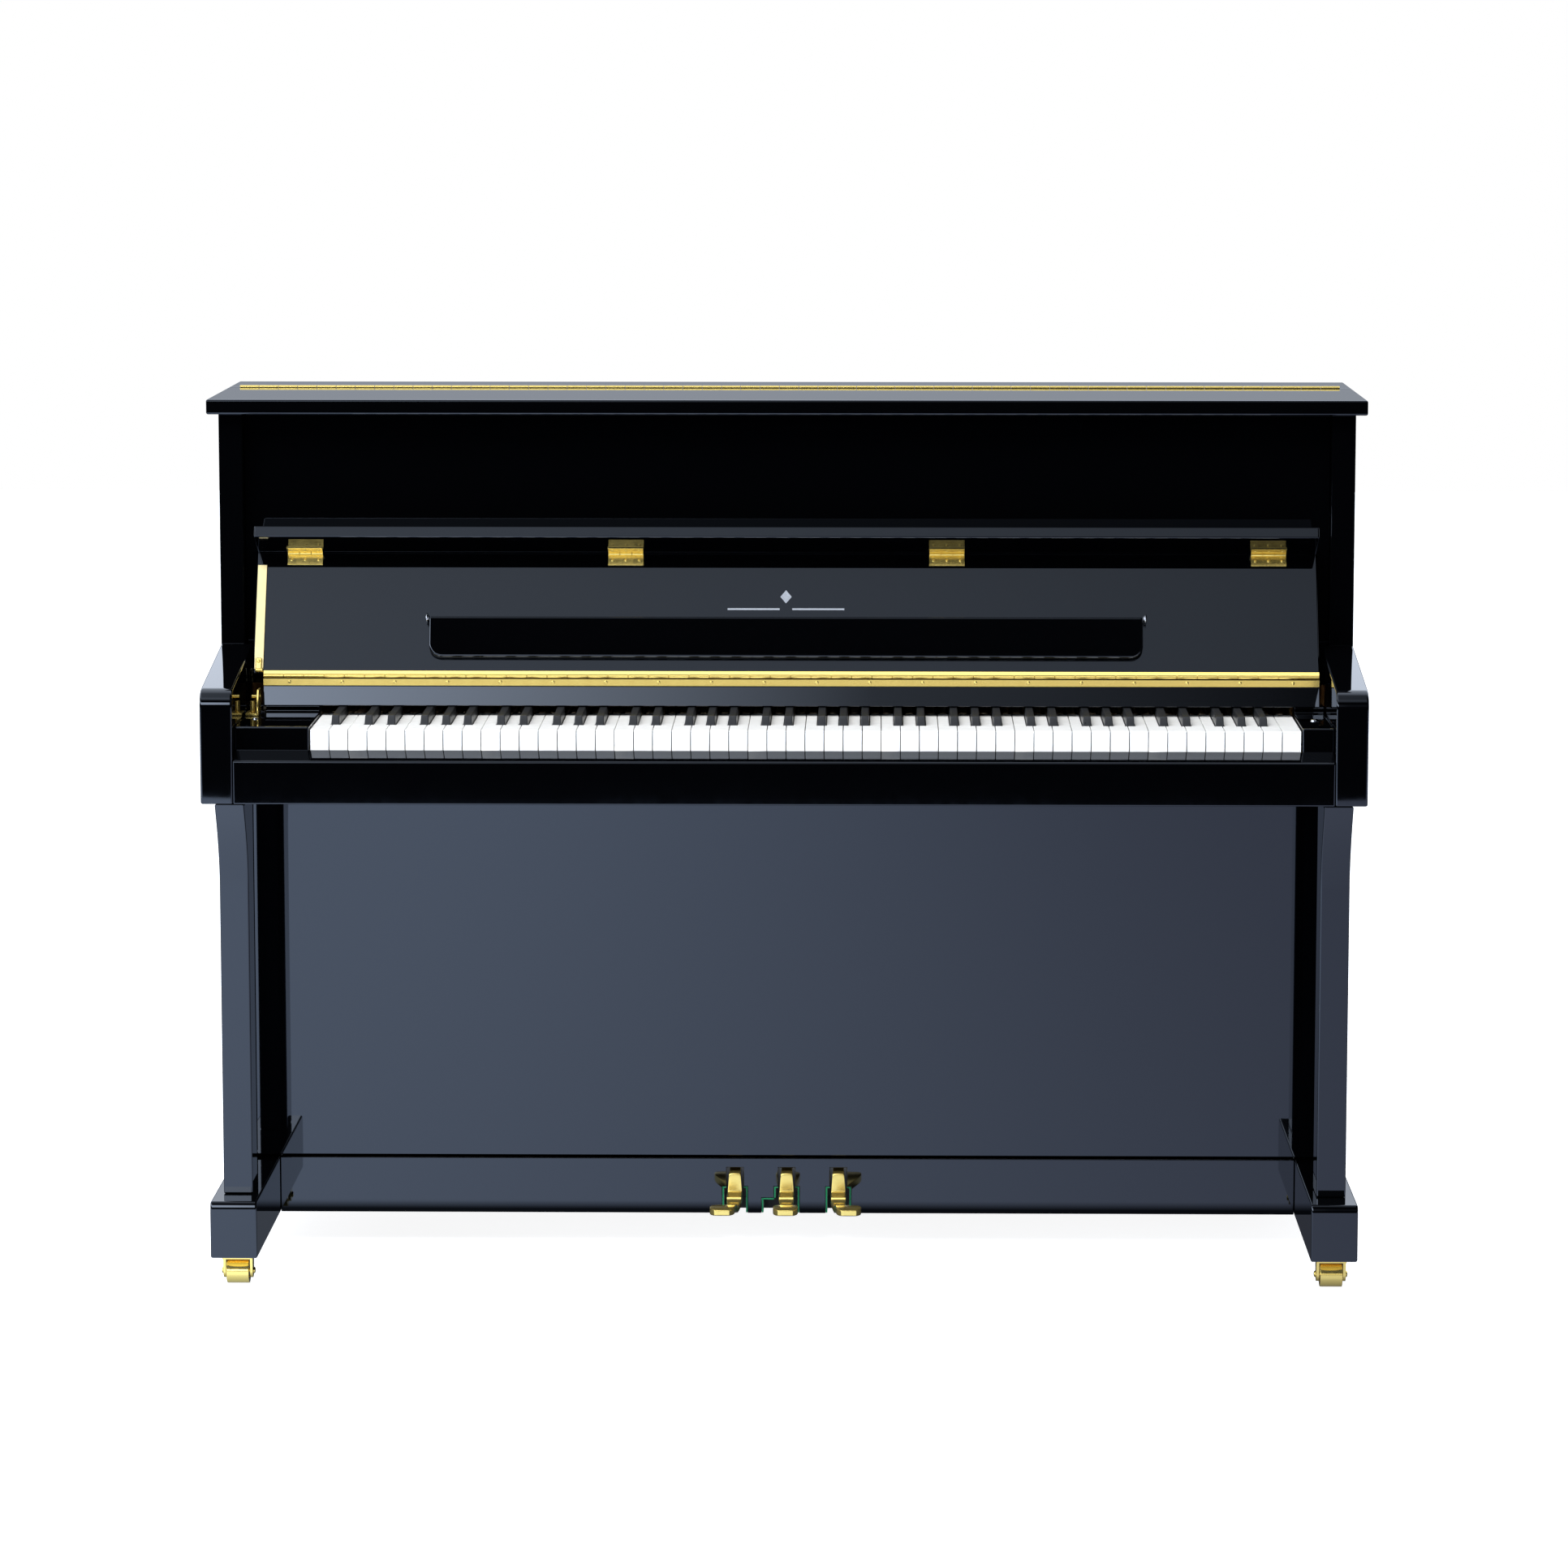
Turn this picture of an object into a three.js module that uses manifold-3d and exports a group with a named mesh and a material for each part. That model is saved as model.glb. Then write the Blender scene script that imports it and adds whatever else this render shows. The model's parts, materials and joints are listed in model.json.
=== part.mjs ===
// Upright piano. Millimetres, +Z up, +X to the player's right, +Y towards the wall.
// The origin is on the floor, under the middle of the piano's box.
import * as THREE from 'three';
import { mergeVertices } from 'three/addons/utils/BufferGeometryUtils.js';
import Module from 'manifold-3d';

const wasm = await Module();
wasm.setup();

// ---------------------------------------------------------------- driving dimensions
const gap = 0.3; // between two parts that touch
const degree = Math.PI / 180;

// Case
const caseWidth = 1441;
const caseDepth = 600;
const caseHeight = 1100;
const sideThickness = 30;
const panelThickness = 18;
const sideSetback = 240; // from the arms' fronts to the side panels' front edges
const upperPanelRecess = 22; // behind the side panels' front edges
const upperPanelDrop = 19; // its lower edge, below the fallboard's hinge
const lowerPanelRecess = 38;
const lowerPanelHeadroom = 6; // below the key bed
const lowerPanelShadow = 3.3; // the dark line above the bottom rail
const railStep = 2; // the rail stands this far in front of the lower panel

// Lid
const lidThickness = 19;
const lidSideOverhang = 13.5;
const lidFrontOverhang = 18;
const lidRearDepth = 131; // the fixed strip behind the hinge
const lidHingeRadius = 3;
const lidHingeInset = 16; // from the ends of the lid
const lidHingeLeafDepth = 12;
const lidHingeRise = 1; // hinge centre above the lid's face

// Base
const wheelRadius = 16;
const wheelWidth = 28;
const wheelHeadroom = 2;
const hornThickness = 4.7;
const swivelPlateThickness = 3;
const swivelPlateRadius = 18;
const cheekThickness = 3.5;
const cheekClearance = 1;
const cheekHalfDepth = 9;
const axleRadius = 3;
const casterTrail = 11;
const casterInset = 40; // from the toe blocks' ends to the swivels
const toeSetForward = 5; // toes reach this far in front of the arms
const toeHeight = 72;
const toeWidth = 58.3;
const toeInset = 5.2; // inside the side panels' outer faces
const toeBandHeight = 11; // the top of the toe's front leans back
const toeBandLean = 3.5;
const railThickness = 22;
const bottomBoardThickness = 16;
const bottomBoardRise = 2;

// Arms, legs and key bed
const kneeHeight = 614; // floor to the underside of the key bed
const keyBedThickness = 40;
const keyBedReach = 470; // back from the arms' fronts
const armWidth = 40;
const armFrontHeight = 140;
const armRearHeight = 174;
const armCornerRadius = 20;
const legWidth = 36.5;
const legInset = 17; // inside the side panels' outer faces
const legDepth = 54;
const legSetback = 44;
const legFlareHeight = 110;
const slipThickness = 24.5;
const slipFrontHeight = 53.6;
const slipBackHeight = 65.4;

// Keyboard
const naturalCount = 52;
const keySpan = 1227;
const keyOffset = 26.5; // the keys sit this far right of the case's middle
const keyGap = 1;
const keyFront = 27; // behind the arms' fronts
const keyTopRise = 50; // above the key bed
const keyThickness = 22;
const naturalHeadLength = 50;
const keyLength = 378;
const sharpRise = 11.5;
const sharpSlotHalf = 6.3;
const sharpSlope = 4.5; // how far the sharp's front leans back
const stickDrop = 8; // a sharp's stick behind the name board, below the naturals' tops
const battenDepth = 20;
const battenStart = 169; // behind the keys' fronts
const battenRise = 4;
const battenThickness = 9;
const battenClearance = 5; // the sharps' batten below the naturals
const balanceDistance = 220; // keys' fronts to the balance rail
const keyDip = 10;
const keyBlockRise = 4; // above the naturals
const keyBlockClearance = 1.2;
const frameRailDepth = 30;
const frameBaseThickness = 6;
const nameBoardSetback = 174;
const nameBoardThickness = 16;
const nameBoardFootReach = 5.5; // how far its foot comes out in front of its top
const nameBoardClearance = 13; // above the naturals

// Fallboard
const fallboardAxisSetback = 175.5;
const fallboardAxisRise = 50; // above the naturals
const fallboardLean = 25.5 * degree;
const fallboardThickness = 12;
const fallboardPanelLength = 166;
const fallboardEndGap = 7.5;
const bracketGap = 20.5; // beside the arm, clear of the name board
const fallHingeRadius = 2.6;
const fallHingeLeaf = 12;
const leafThickness = 1.2;
const lipLength = 57; // from the fallboard's inner face
const lipThickness = 15;
const lipCornerRadius = 10;
const lipInset = 0.4; // inside the fallboard's ends
const lipHingeWidth = 45;
const lipHingeRadius = 2;
const lipHingeLeaf = 15;
const lipHingeInset = 61; // from the fallboard's ends to the outer hinges' centres
const shelfWidth = 902;
const shelfLength = 52;
const shelfThickness = 16;
const shelfEdgeThickness = 8; // it thins towards its lower edge
const shelfTop = 75; // up the fallboard from its hinge
const shelfCornerRadius = 16;
const bracketThickness = 3;
const bracketDepth = 30;
const bracketSetForward = 14; // in front of the fallboard's hinge
const bracketHeight = 32;

// Pedals
const pedalSpacing = 67;
const pedalPivotSetback = 345;
const pedalTail = 30;
const pedalNeckSetback = 234;
const pedalToeSetback = 170;
const pedalToeDrop = 25; // from the stem's top to the toe's
const pedalStemWidth = 18;
const pedalToeWidth = 33;
const pedalToeSweep = 14; // outer toes, away from the middle
const pedalStemTop = 56; // above the toe blocks' undersides
const pedalStemThickness = 14;
const slotClearance = 2;
const notchWidth = 33;
const notchHeight = 35;
const latchWidth = 16;
const latchHeight = 20;

// Back, plate and strings
const postDepth = 65;
const postWidth = 60;
const postCount = 5;
const bottomBeamHeight = 90;
const topBeamHeight = 120;
const linerHeight = 24;
const linerDepth = 16.7;
const soundboardThickness = 8;
const soundboardSideInset = 36;
const ribCount = 9;
const ribWidth = 22;
const ribDepth = 14;
const ribSlope = 32 * degree;
const plateThickness = 14;
const plateFront = 478; // behind the arms' fronts
const plateSideInset = 47;
const plateTopInset = 19;
const plateFootRise = 20; // above the back frame's foot
const plateBorder = 60;
const plateHeadHeight = 150;
const plateStrut = 34;
const plateWindows = 4;
const pinBlockHeight = 145;
const pinBlockInset = 6;

// Action
const actionBracketThickness = 8;
const actionBracketFront = 424;
const actionBracketDepth = 10;
const actionBracketFoot = 26;
const actionRailDepth = 16;
const actionHeight = 306; // above the key bed
const hammerPivotSetback = 406;
const hammerPivotRise = 150; // above the key bed
const damperPivotSetback = 444;
const damperPivotRise = 152;
const mufflerSetback = 462;
const mufflerThickness = 5;
const mufflerHeight = 30;
const mufflerRise = 281;

// ---------------------------------------------------------------- planes worked out from them
const front = -caseDepth / 2;
const back = caseDepth / 2;
const halfWidth = caseWidth / 2;
const innerHalf = halfWidth - sideThickness;
const armInner = halfWidth - armWidth;
const armFront = front + toeSetForward;
const behind = (distance) => armFront + distance;
const sideFront = behind(sideSetback);
const lidBottom = caseHeight - lidThickness;
const casterHeight = 2 * wheelRadius + wheelHeadroom + hornThickness + swivelPlateThickness + gap;
const toeTop = casterHeight + toeHeight;
const toeInner = halfWidth - toeInset - toeWidth;
const keyBedTop = kneeHeight + keyBedThickness;
const keyTop = keyBedTop + keyTopRise;
const keyLeft = keyOffset - keySpan / 2;
const keyRight = keyOffset + keySpan / 2;
const naturalPitch = keySpan / naturalCount;
const fallboardAxisY = behind(fallboardAxisSetback);
const fallboardAxisZ = keyTop + fallboardAxisRise;
const fallboardLeft = -armInner + fallboardEndGap;
const fallboardRight = armInner - fallboardEndGap;
const nameBoardLeft = -armInner + bracketGap;
const fallboardWidth = fallboardRight - fallboardLeft;
const hingeLineY = back - lidRearDepth;
const postFront = back - postDepth;
const frameBottom = toeTop + gap;
const frameTop = lidBottom - gap;

// ---------------------------------------------------------------- materials
const finish = (color, roughness, metalness) =>
  new THREE.MeshStandardMaterial({ color, roughness, metalness });
const lacquer = finish(0x07080a, 0.06, 0);
const brass = finish(0xd4a92a, 0.18, 1);
const ivory = finish(0xf7f6f1, 0.2, 0);
const ebony = finish(0x101114, 0.35, 0);
const spruce = finish(0xc9a26b, 0.6, 0);
const beech = finish(0xb98d5a, 0.65, 0);
const bronzedIron = finish(0xb08a3e, 0.45, 0.6);
const felt = finish(0xe4dfd2, 0.95, 0);

// ---------------------------------------------------------------- shape helpers
const piano = new THREE.Group();

function add(name, geometry, material, parent = piano) {
  const mesh = new THREE.Mesh(geometry, material);
  mesh.name = name;
  parent.add(mesh);
  return mesh;
}

// A rectangular piece between two values on each axis.
function addBlock(name, [x0, x1], [y0, y1], [z0, z1], material, parent = piano) {
  const mesh = add(name, new THREE.BoxGeometry(x1 - x0, y1 - y0, z1 - z0), material, parent);
  mesh.position.set((x0 + x1) / 2, (y0 + y1) / 2, (z0 + z1) / 2);
  return mesh;
}

function block([x0, x1], [y0, y1], [z0, z1]) {
  const box = new THREE.BoxGeometry(x1 - x0, y1 - y0, z1 - z0);
  return box.translate((x0 + x1) / 2, (y0 + y1) / 2, (z0 + z1) / 2);
}

function shapeOf(points) {
  return new THREE.Shape(points.map(([a, b]) => new THREE.Vector2(a, b)));
}

function extruded(shape, depth, curveSegments = 6) {
  return new THREE.ExtrudeGeometry(shape, { depth, bevelEnabled: false, curveSegments });
}

// The three directions a section can be swept in. A section is drawn in (y, z), (x, z) or (x, y).
const sweepX = new THREE.Matrix4().set(0, 0, 1, 0, 1, 0, 0, 0, 0, 1, 0, 0, 0, 0, 0, 1);
const sweepY = new THREE.Matrix4().set(1, 0, 0, 0, 0, 0, -1, 0, 0, 1, 0, 0, 0, 0, 0, 1);

function alongX(shape, x0, x1, curveSegments) {
  return extruded(shape, x1 - x0, curveSegments).applyMatrix4(sweepX).translate(x0, 0, 0);
}

function alongY(shape, y0, y1, curveSegments) {
  return extruded(shape, y1 - y0, curveSegments).applyMatrix4(sweepY).translate(0, y1, 0);
}

function alongZ(shape, z0, z1, curveSegments) {
  return extruded(shape, z1 - z0, curveSegments).translate(0, 0, z0);
}

// A round bar along X.
function barX(radius, x0, x1, y, z, sides) {
  const bar = new THREE.CylinderGeometry(radius, radius, x1 - x0, sides);
  return bar.rotateZ(Math.PI / 2).translate((x0 + x1) / 2, y, z);
}

function toSolid(geometry) {
  const bare = geometry.clone();
  bare.deleteAttribute('normal');
  bare.deleteAttribute('uv');
  const merged = mergeVertices(bare);
  const vertProperties = merged.getAttribute('position').array;
  const triVerts = new Uint32Array(merged.getIndex().array);
  return new wasm.Manifold(new wasm.Mesh({ numProp: 3, vertProperties, triVerts }));
}

function toGeometry(solid) {
  const mesh = solid.getMesh();
  const geometry = new THREE.BufferGeometry();
  geometry.setAttribute('position', new THREE.BufferAttribute(mesh.vertProperties, 3));
  geometry.setIndex(new THREE.BufferAttribute(mesh.triVerts, 1));
  geometry.computeVertexNormals();
  return geometry;
}

function joined(geometries) {
  return toGeometry(geometries.map(toSolid).reduce((whole, piece) => whole.add(piece)));
}

function cut(geometry, holes) {
  return toGeometry(holes.map(toSolid).reduce((whole, hole) => whole.subtract(hole), toSolid(geometry)));
}

function common(geometryA, geometryB) {
  return toGeometry(toSolid(geometryA).intersect(toSolid(geometryB)));
}

// ---------------------------------------------------------------- case
function buildCase() {
  for (const [name, side] of [['left', -1], ['right', 1]]) {
    const across = (a, b) => (side < 0 ? [-b, -a] : [a, b]);
    addBlock(`side_${name}`, across(innerHalf, halfWidth), [sideFront, back],
      [toeTop + gap, lidBottom - gap], lacquer);
    add(`toe_block_${name}`, alongX(toeSection(), ...across(toeInner, toeInner + toeWidth)), lacquer);
    const [armStart, armEnd] = across(armInner, halfWidth);
    add(`arm_${name}`, alongX(armSection(), armStart, armEnd), lacquer);
    const legOuter = halfWidth - legInset;
    const [legStart, legEnd] = across(legOuter - legWidth, legOuter);
    add(`leg_${name}`, alongX(legSection(), legStart, legEnd, 10), lacquer);
  }
  const panelHalf = innerHalf - gap;
  const upperFront = sideFront + upperPanelRecess;
  addBlock('upper_panel', [-panelHalf, panelHalf], [upperFront, upperFront + panelThickness],
    [fallboardAxisZ - upperPanelDrop, lidBottom - gap], lacquer);
  const lowerFront = sideFront + lowerPanelRecess;
  addBlock('lower_panel', [-panelHalf, panelHalf], [lowerFront, lowerFront + panelThickness],
    [toeTop + lowerPanelShadow, kneeHeight - lowerPanelHeadroom], lacquer);
  add('bottom_rail', bottomRail(lowerFront - railStep), lacquer);
  const boardBottom = casterHeight + bottomBoardRise;
  addBlock('bottom_board', [-toeInner + gap, toeInner - gap],
    [lowerFront - railStep + railThickness + gap, back],
    [boardBottom, boardBottom + bottomBoardThickness], beech);
}

function toeSection() {
  return shapeOf([
    [front, casterHeight], [back, casterHeight], [back, toeTop], [front + toeBandLean, toeTop],
    [front, toeTop - toeBandHeight],
  ]);
}

function armSection() {
  const shape = new THREE.Shape();
  const frontTop = kneeHeight + armFrontHeight;
  shape.moveTo(armFront, kneeHeight);
  shape.lineTo(sideFront - gap, kneeHeight);
  shape.lineTo(sideFront - gap, kneeHeight + armRearHeight);
  const slope = (armRearHeight - armFrontHeight) / (sideFront - gap - armFront);
  shape.lineTo(armFront + armCornerRadius, frontTop + slope * armCornerRadius);
  shape.quadraticCurveTo(armFront, frontTop, armFront, frontTop - armCornerRadius);
  return shape;
}

function legSection() {
  const shape = new THREE.Shape();
  const top = kneeHeight - gap;
  const legFront = armFront + legSetback;
  shape.moveTo(legFront, toeTop + gap);
  shape.lineTo(legFront + legDepth, toeTop + gap);
  shape.lineTo(legFront + legDepth, top);
  shape.lineTo(armFront, top);
  const flareStart = top - legFlareHeight;
  shape.bezierCurveTo(
    armFront + legSetback * 0.5, top - legFlareHeight * 0.3,
    legFront, flareStart + legFlareHeight * 0.35,
    legFront, flareStart,
  );
  return shape;
}

// The rail has a slot and a wider notch for each pedal. The middle notch has a step to latch into.
function bottomRail(railFront) {
  const span = [railFront - 1, railFront + railThickness + 1];
  const slotHalf = pedalStemWidth / 2 + slotClearance;
  const slotTop = casterHeight + pedalStemTop + slotClearance * 2;
  const notchTop = casterHeight + notchHeight;
  const holes = [];
  for (const place of [-1, 0, 1]) {
    const x = place * pedalSpacing;
    holes.push(block([x - slotHalf, x + slotHalf], span, [casterHeight - 1, slotTop]));
    holes.push(block([x - notchWidth / 2, x + notchWidth / 2], span, [casterHeight - 1, notchTop]));
  }
  const latch = [-notchWidth / 2 - latchWidth, -notchWidth / 2 + 1];
  holes.push(block(latch, span, [casterHeight - 1, casterHeight + latchHeight]));
  const rail = block([-toeInner + gap, toeInner - gap], [railFront, railFront + railThickness],
    [casterHeight, toeTop]);
  return cut(rail, holes);
}

// ---------------------------------------------------------------- lid
function buildLid() {
  const half = halfWidth + lidSideOverhang;
  const edge = lidHingeRadius + gap;
  addBlock('top_lid_rear', [-half, half], [hingeLineY + edge, back], [lidBottom, caseHeight], lacquer);
  addBlock('top_lid_front', [-half, half], [sideFront - lidFrontOverhang, hingeLineY - edge],
    [lidBottom, caseHeight], lacquer);
  const hingeHalf = half - lidHingeInset;
  const centre = caseHeight + lidHingeRise;
  const barrel = barX(lidHingeRadius, -hingeHalf, hingeHalf, hingeLineY, centre, 10);
  const leaf = block([-hingeHalf, hingeHalf],
    [hingeLineY + lidHingeRadius - leafThickness, hingeLineY + lidHingeRadius],
    [centre - lidHingeLeafDepth, centre]);
  add('top_lid_hinge', joined([barrel, leaf]), brass);
}

// ---------------------------------------------------------------- casters
function buildCasters() {
  const x = toeInner + toeWidth / 2;
  const places = {
    front_left: [-x, front + casterInset],
    front_right: [x, front + casterInset],
    rear_left: [-x, back - casterInset - casterTrail],
    rear_right: [x, back - casterInset - casterTrail],
  };
  for (const [name, [px, py]] of Object.entries(places)) {
    const caster = new THREE.Group();
    caster.position.set(px, py, 0);
    piano.add(caster);
    add(`caster_fork_${name}`, casterFork(), brass, caster);
    const wheel = add(`caster_wheel_${name}`, casterWheel(), brass, caster);
    wheel.position.set(0, casterTrail, wheelRadius);
  }
}

function casterFork() {
  const plateTop = casterHeight - gap;
  const hornTop = plateTop - swivelPlateThickness;
  const inner = wheelWidth / 2 + cheekClearance;
  const outer = inner + cheekThickness;
  const plate = new THREE.CylinderGeometry(swivelPlateRadius, swivelPlateRadius,
    swivelPlateThickness + 1, 20);
  plate.rotateX(Math.PI / 2).translate(0, 0, hornTop + (swivelPlateThickness - 1) / 2);
  const near = casterTrail - cheekHalfDepth;
  const far = casterTrail + cheekHalfDepth;
  const horn = block([-outer, outer], [-cheekHalfDepth, far], [hornTop - hornThickness, hornTop]);
  const cheek = new THREE.Shape();
  cheek.moveTo(near, hornTop - 1);
  cheek.lineTo(near, wheelRadius);
  cheek.absarc(casterTrail, wheelRadius, cheekHalfDepth, Math.PI, 2 * Math.PI);
  cheek.lineTo(far, hornTop - 1);
  const cheeks = [[-outer, -inner], [inner, outer]].map(([x0, x1]) => alongX(cheek, x0, x1));
  const axle = barX(axleRadius, -outer - 1, outer + 1, casterTrail, wheelRadius, 10);
  return joined([plate, horn, ...cheeks, axle]);
}

// The wheel's flats touch the floor, so its corners stand a little outside its radius.
function casterWheel() {
  const sides = 24;
  const rim = wheelRadius / Math.cos(Math.PI / sides);
  const half = wheelWidth / 2;
  const bore = axleRadius + gap;
  const shoulder = 3;
  const profile = [[bore, -half], [rim - shoulder, -half], [rim, -half + shoulder],
    [rim, half - shoulder], [rim - shoulder, half], [bore, half], [bore, -half]];
  const wheel = new THREE.LatheGeometry(profile.map(([r, h]) => new THREE.Vector2(r, h)), sides);
  return wheel.rotateY(Math.PI / sides).rotateZ(-Math.PI / 2);
}

// ---------------------------------------------------------------- keyboard
function buildKeyBed() {
  const bedHalf = innerHalf - gap;
  const armHalf = armInner - gap;
  const bedFront = armFront + slipThickness + gap;
  const outline = shapeOf([
    [-armHalf, bedFront], [armHalf, bedFront], [armHalf, sideFront], [bedHalf, sideFront],
    [bedHalf, behind(keyBedReach)], [-bedHalf, behind(keyBedReach)], [-bedHalf, sideFront],
    [-armHalf, sideFront],
  ]);
  add('key_bed', alongZ(outline, kneeHeight, keyBedTop), lacquer);
  const slip = shapeOf([
    [armFront, kneeHeight], [armFront + slipThickness, kneeHeight],
    [armFront + slipThickness, kneeHeight + slipBackHeight], [armFront, kneeHeight + slipFrontHeight],
  ]);
  add('key_slip', alongX(slip, -armHalf, armHalf), lacquer);
  const blocks = {
    key_block_left: [-armHalf, keyLeft - keyBlockClearance],
    key_block_right: [keyRight + keyBlockClearance, armHalf],
  };
  for (const [name, [x0, x1]] of Object.entries(blocks)) {
    add(name, alongX(keyBlockSection(), x0, x1), lacquer);
  }
  add('name_board', alongX(nameBoardSection(), nameBoardLeft, fallboardRight), lacquer);
}

// The face leans back, under a rebate that takes the hinge's fixed leaf.
function nameBoardSection() {
  const top = fallboardAxisZ - fallHingeRadius - gap;
  const rebateFoot = fallboardAxisZ - fallHingeLeaf - gap;
  const rebate = behind(nameBoardSetback);
  const back = rebate + nameBoardThickness;
  const foot = keyTop + nameBoardClearance;
  return shapeOf([
    [rebate, top], [rebate, rebateFoot], [rebate - leafThickness - gap, rebateFoot],
    [rebate - nameBoardFootReach, foot], [back, foot], [back, top],
  ]);
}

function keyBlockSection() {
  const blockFront = armFront + slipThickness + gap;
  const base = keyBedTop + gap;
  const top = keyTop + keyBlockRise;
  const seat = keyTop + nameBoardClearance - gap;
  const seatFront = behind(nameBoardSetback + 2);
  const seatBack = behind(nameBoardSetback + nameBoardThickness + 12);
  return shapeOf([
    [blockFront, base], [seatBack, base], [seatBack, seat], [seatFront, seat], [seatFront, top],
    [blockFront, top],
  ]);
}

// The frame under the keys: a base with a balance rail and a back rail.
function buildKeyFrame() {
  const base = keyBedTop + gap;
  const span = [keyLeft, keyRight];
  const frontEdge = behind(keyFront + 16);
  const balance = behind(keyFront + balanceDistance);
  const backEdge = behind(keyFront + keyLength);
  const keyBottom = keyTop - keyThickness;
  const balanceTop = keyBottom - battenClearance;
  add('key_frame', joined([
    block(span, [frontEdge, backEdge], [base, base + frameBaseThickness]),
    block(span, [balance - frameRailDepth / 2, balance + frameRailDepth / 2], [base, balanceTop]),
    block(span, [backEdge - frameRailDepth, backEdge], [base, balanceTop]),
  ]), beech);
}

// Centres of the sharps, in naturals from the C below, by the natural that each one follows.
// C to E shares three naturals among five keys, and F to B shares four among seven.
const sharpAfter = new Map([
  [0, 1.5 * (3 / 5)],
  [1, 3.5 * (3 / 5)],
  [3, 3 + 1.5 * (4 / 7)],
  [4, 3 + 3.5 * (4 / 7)],
  [5, 3 + 5.5 * (4 / 7)],
]);
const firstDegree = 5; // the lowest natural is an A

function sharpCentre(natural) {
  const degreeInOctave = (natural + firstDegree) % 7;
  const isLast = natural === naturalCount - 1;
  if (natural < 0 || isLast || !sharpAfter.has(degreeInOctave)) {
    return null;
  }
  const octaveStart = keyLeft + (natural - degreeInOctave) * naturalPitch;
  return octaveStart + sharpAfter.get(degreeInOctave) * naturalPitch;
}

// A natural's outline from above: a wide head, and a tail between the sharps beside it.
function naturalOutline(natural) {
  const x0 = keyLeft + natural * naturalPitch + keyGap / 2;
  const x1 = x0 + naturalPitch - keyGap;
  const lower = sharpCentre(natural - 1);
  const upper = sharpCentre(natural);
  const tail0 = lower === null ? x0 : Math.max(x0, lower + sharpSlotHalf);
  const tail1 = upper === null ? x1 : Math.min(x1, upper - sharpSlotHalf);
  const y0 = behind(keyFront);
  const neck = y0 + naturalHeadLength;
  const y1 = y0 + keyLength;
  return shapeOf([[x0, y0], [x1, y0], [x1, neck], [tail1, neck], [tail1, y1], [tail0, y1],
    [tail0, neck], [x0, neck]].filter(([x, y], i, all) => {
    const [px, py] = all[(i + all.length - 1) % all.length];
    return x !== px || y !== py;
  }));
}

function sharpSection() {
  const y0 = behind(keyFront) + naturalHeadLength + keyGap;
  const blockEnd = behind(nameBoardSetback + nameBoardThickness - 2);
  const y1 = behind(keyFront + keyLength);
  const bottom = keyTop - keyThickness;
  const battenBottom = bottom - battenClearance - battenThickness;
  const batten0 = behind(keyFront + battenStart) - 2;
  const batten1 = behind(keyFront + battenStart + battenDepth) + 2;
  return shapeOf([
    [y0, bottom], [batten0, bottom], [batten0, battenBottom], [batten1, battenBottom],
    [batten1, bottom], [y1, bottom], [y1, keyTop - stickDrop], [blockEnd, keyTop - stickDrop],
    [blockEnd, keyTop + sharpRise], [y0 + sharpSlope, keyTop + sharpRise], [y0, keyTop - 1],
  ]);
}

// Keys that are played together share a batten behind the name board.
function buildKeys() {
  const bottom = keyTop - keyThickness;
  const batten = [behind(keyFront + battenStart), behind(keyFront + battenStart + battenDepth)];
  const naturalStarts = [0, 9, 16, 23, 30, 37, 44, naturalCount];
  for (let octave = 0; octave < naturalStarts.length - 1; octave += 1) {
    const pieces = [];
    for (let n = naturalStarts[octave]; n < naturalStarts[octave + 1]; n += 1) {
      pieces.push(alongZ(naturalOutline(n), bottom, keyTop));
    }
    const x0 = keyLeft + naturalStarts[octave] * naturalPitch + keyGap;
    const x1 = keyLeft + naturalStarts[octave + 1] * naturalPitch - keyGap;
    pieces.push(block([x0, x1], batten, [keyTop - battenRise, keyTop + battenRise]));
    add(`natural_keys_${octave + 1}`, joined(pieces), ivory);
  }
  const sharpHalf = sharpSlotHalf - keyGap;
  const sharpStarts = [0, 16, 30, 44, naturalCount];
  for (let part = 0; part < sharpStarts.length - 1; part += 1) {
    const centres = [];
    for (let n = sharpStarts[part]; n < sharpStarts[part + 1]; n += 1) {
      centres.push(sharpCentre(n));
    }
    const present = centres.filter((centre) => centre !== null);
    const pieces = present.map((centre) => alongX(sharpSection(), centre - sharpHalf, centre + sharpHalf));
    const top = bottom - battenClearance;
    pieces.push(block([present[0], present[present.length - 1]], batten, [top - battenThickness, top]));
    add(`sharp_keys_${part + 1}`, joined(pieces), ebony);
  }
}

// ---------------------------------------------------------------- fallboard
// Built upright on its hinge axis, then leaned back. Its inner face is the plane y = 0.
function buildFallboard() {
  const leaning = new THREE.Group();
  leaning.position.set(0, fallboardAxisY, fallboardAxisZ);
  leaning.rotation.x = -fallboardLean;
  piano.add(leaning);
  const start = fallHingeRadius + 1;
  add('fallboard', block([fallboardLeft, fallboardRight], [0, fallboardThickness],
    [start, fallboardPanelLength - gap]), lacquer, leaning);
  buildLip(leaning);
  const shelf = add('music_shelf', musicShelf(), lacquer, leaning);
  shelf.position.set(0, -gap, shelfTop);
  buildFallHinge();
  const plate0 = nameBoardLeft - bracketThickness - 2;
  const foot = [-armInner + 2, plate0 + bracketThickness];
  const y1 = fallboardAxisY - bracketSetForward;
  const y = [y1 - bracketDepth, y1];
  const z = keyTop + keyBlockRise + gap;
  add('slow_close_bracket', joined([
    block([plate0, plate0 + bracketThickness], y, [z, z + bracketHeight]),
    block(foot, y, [z, z + bracketThickness]),
  ]), brass);
}

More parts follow.
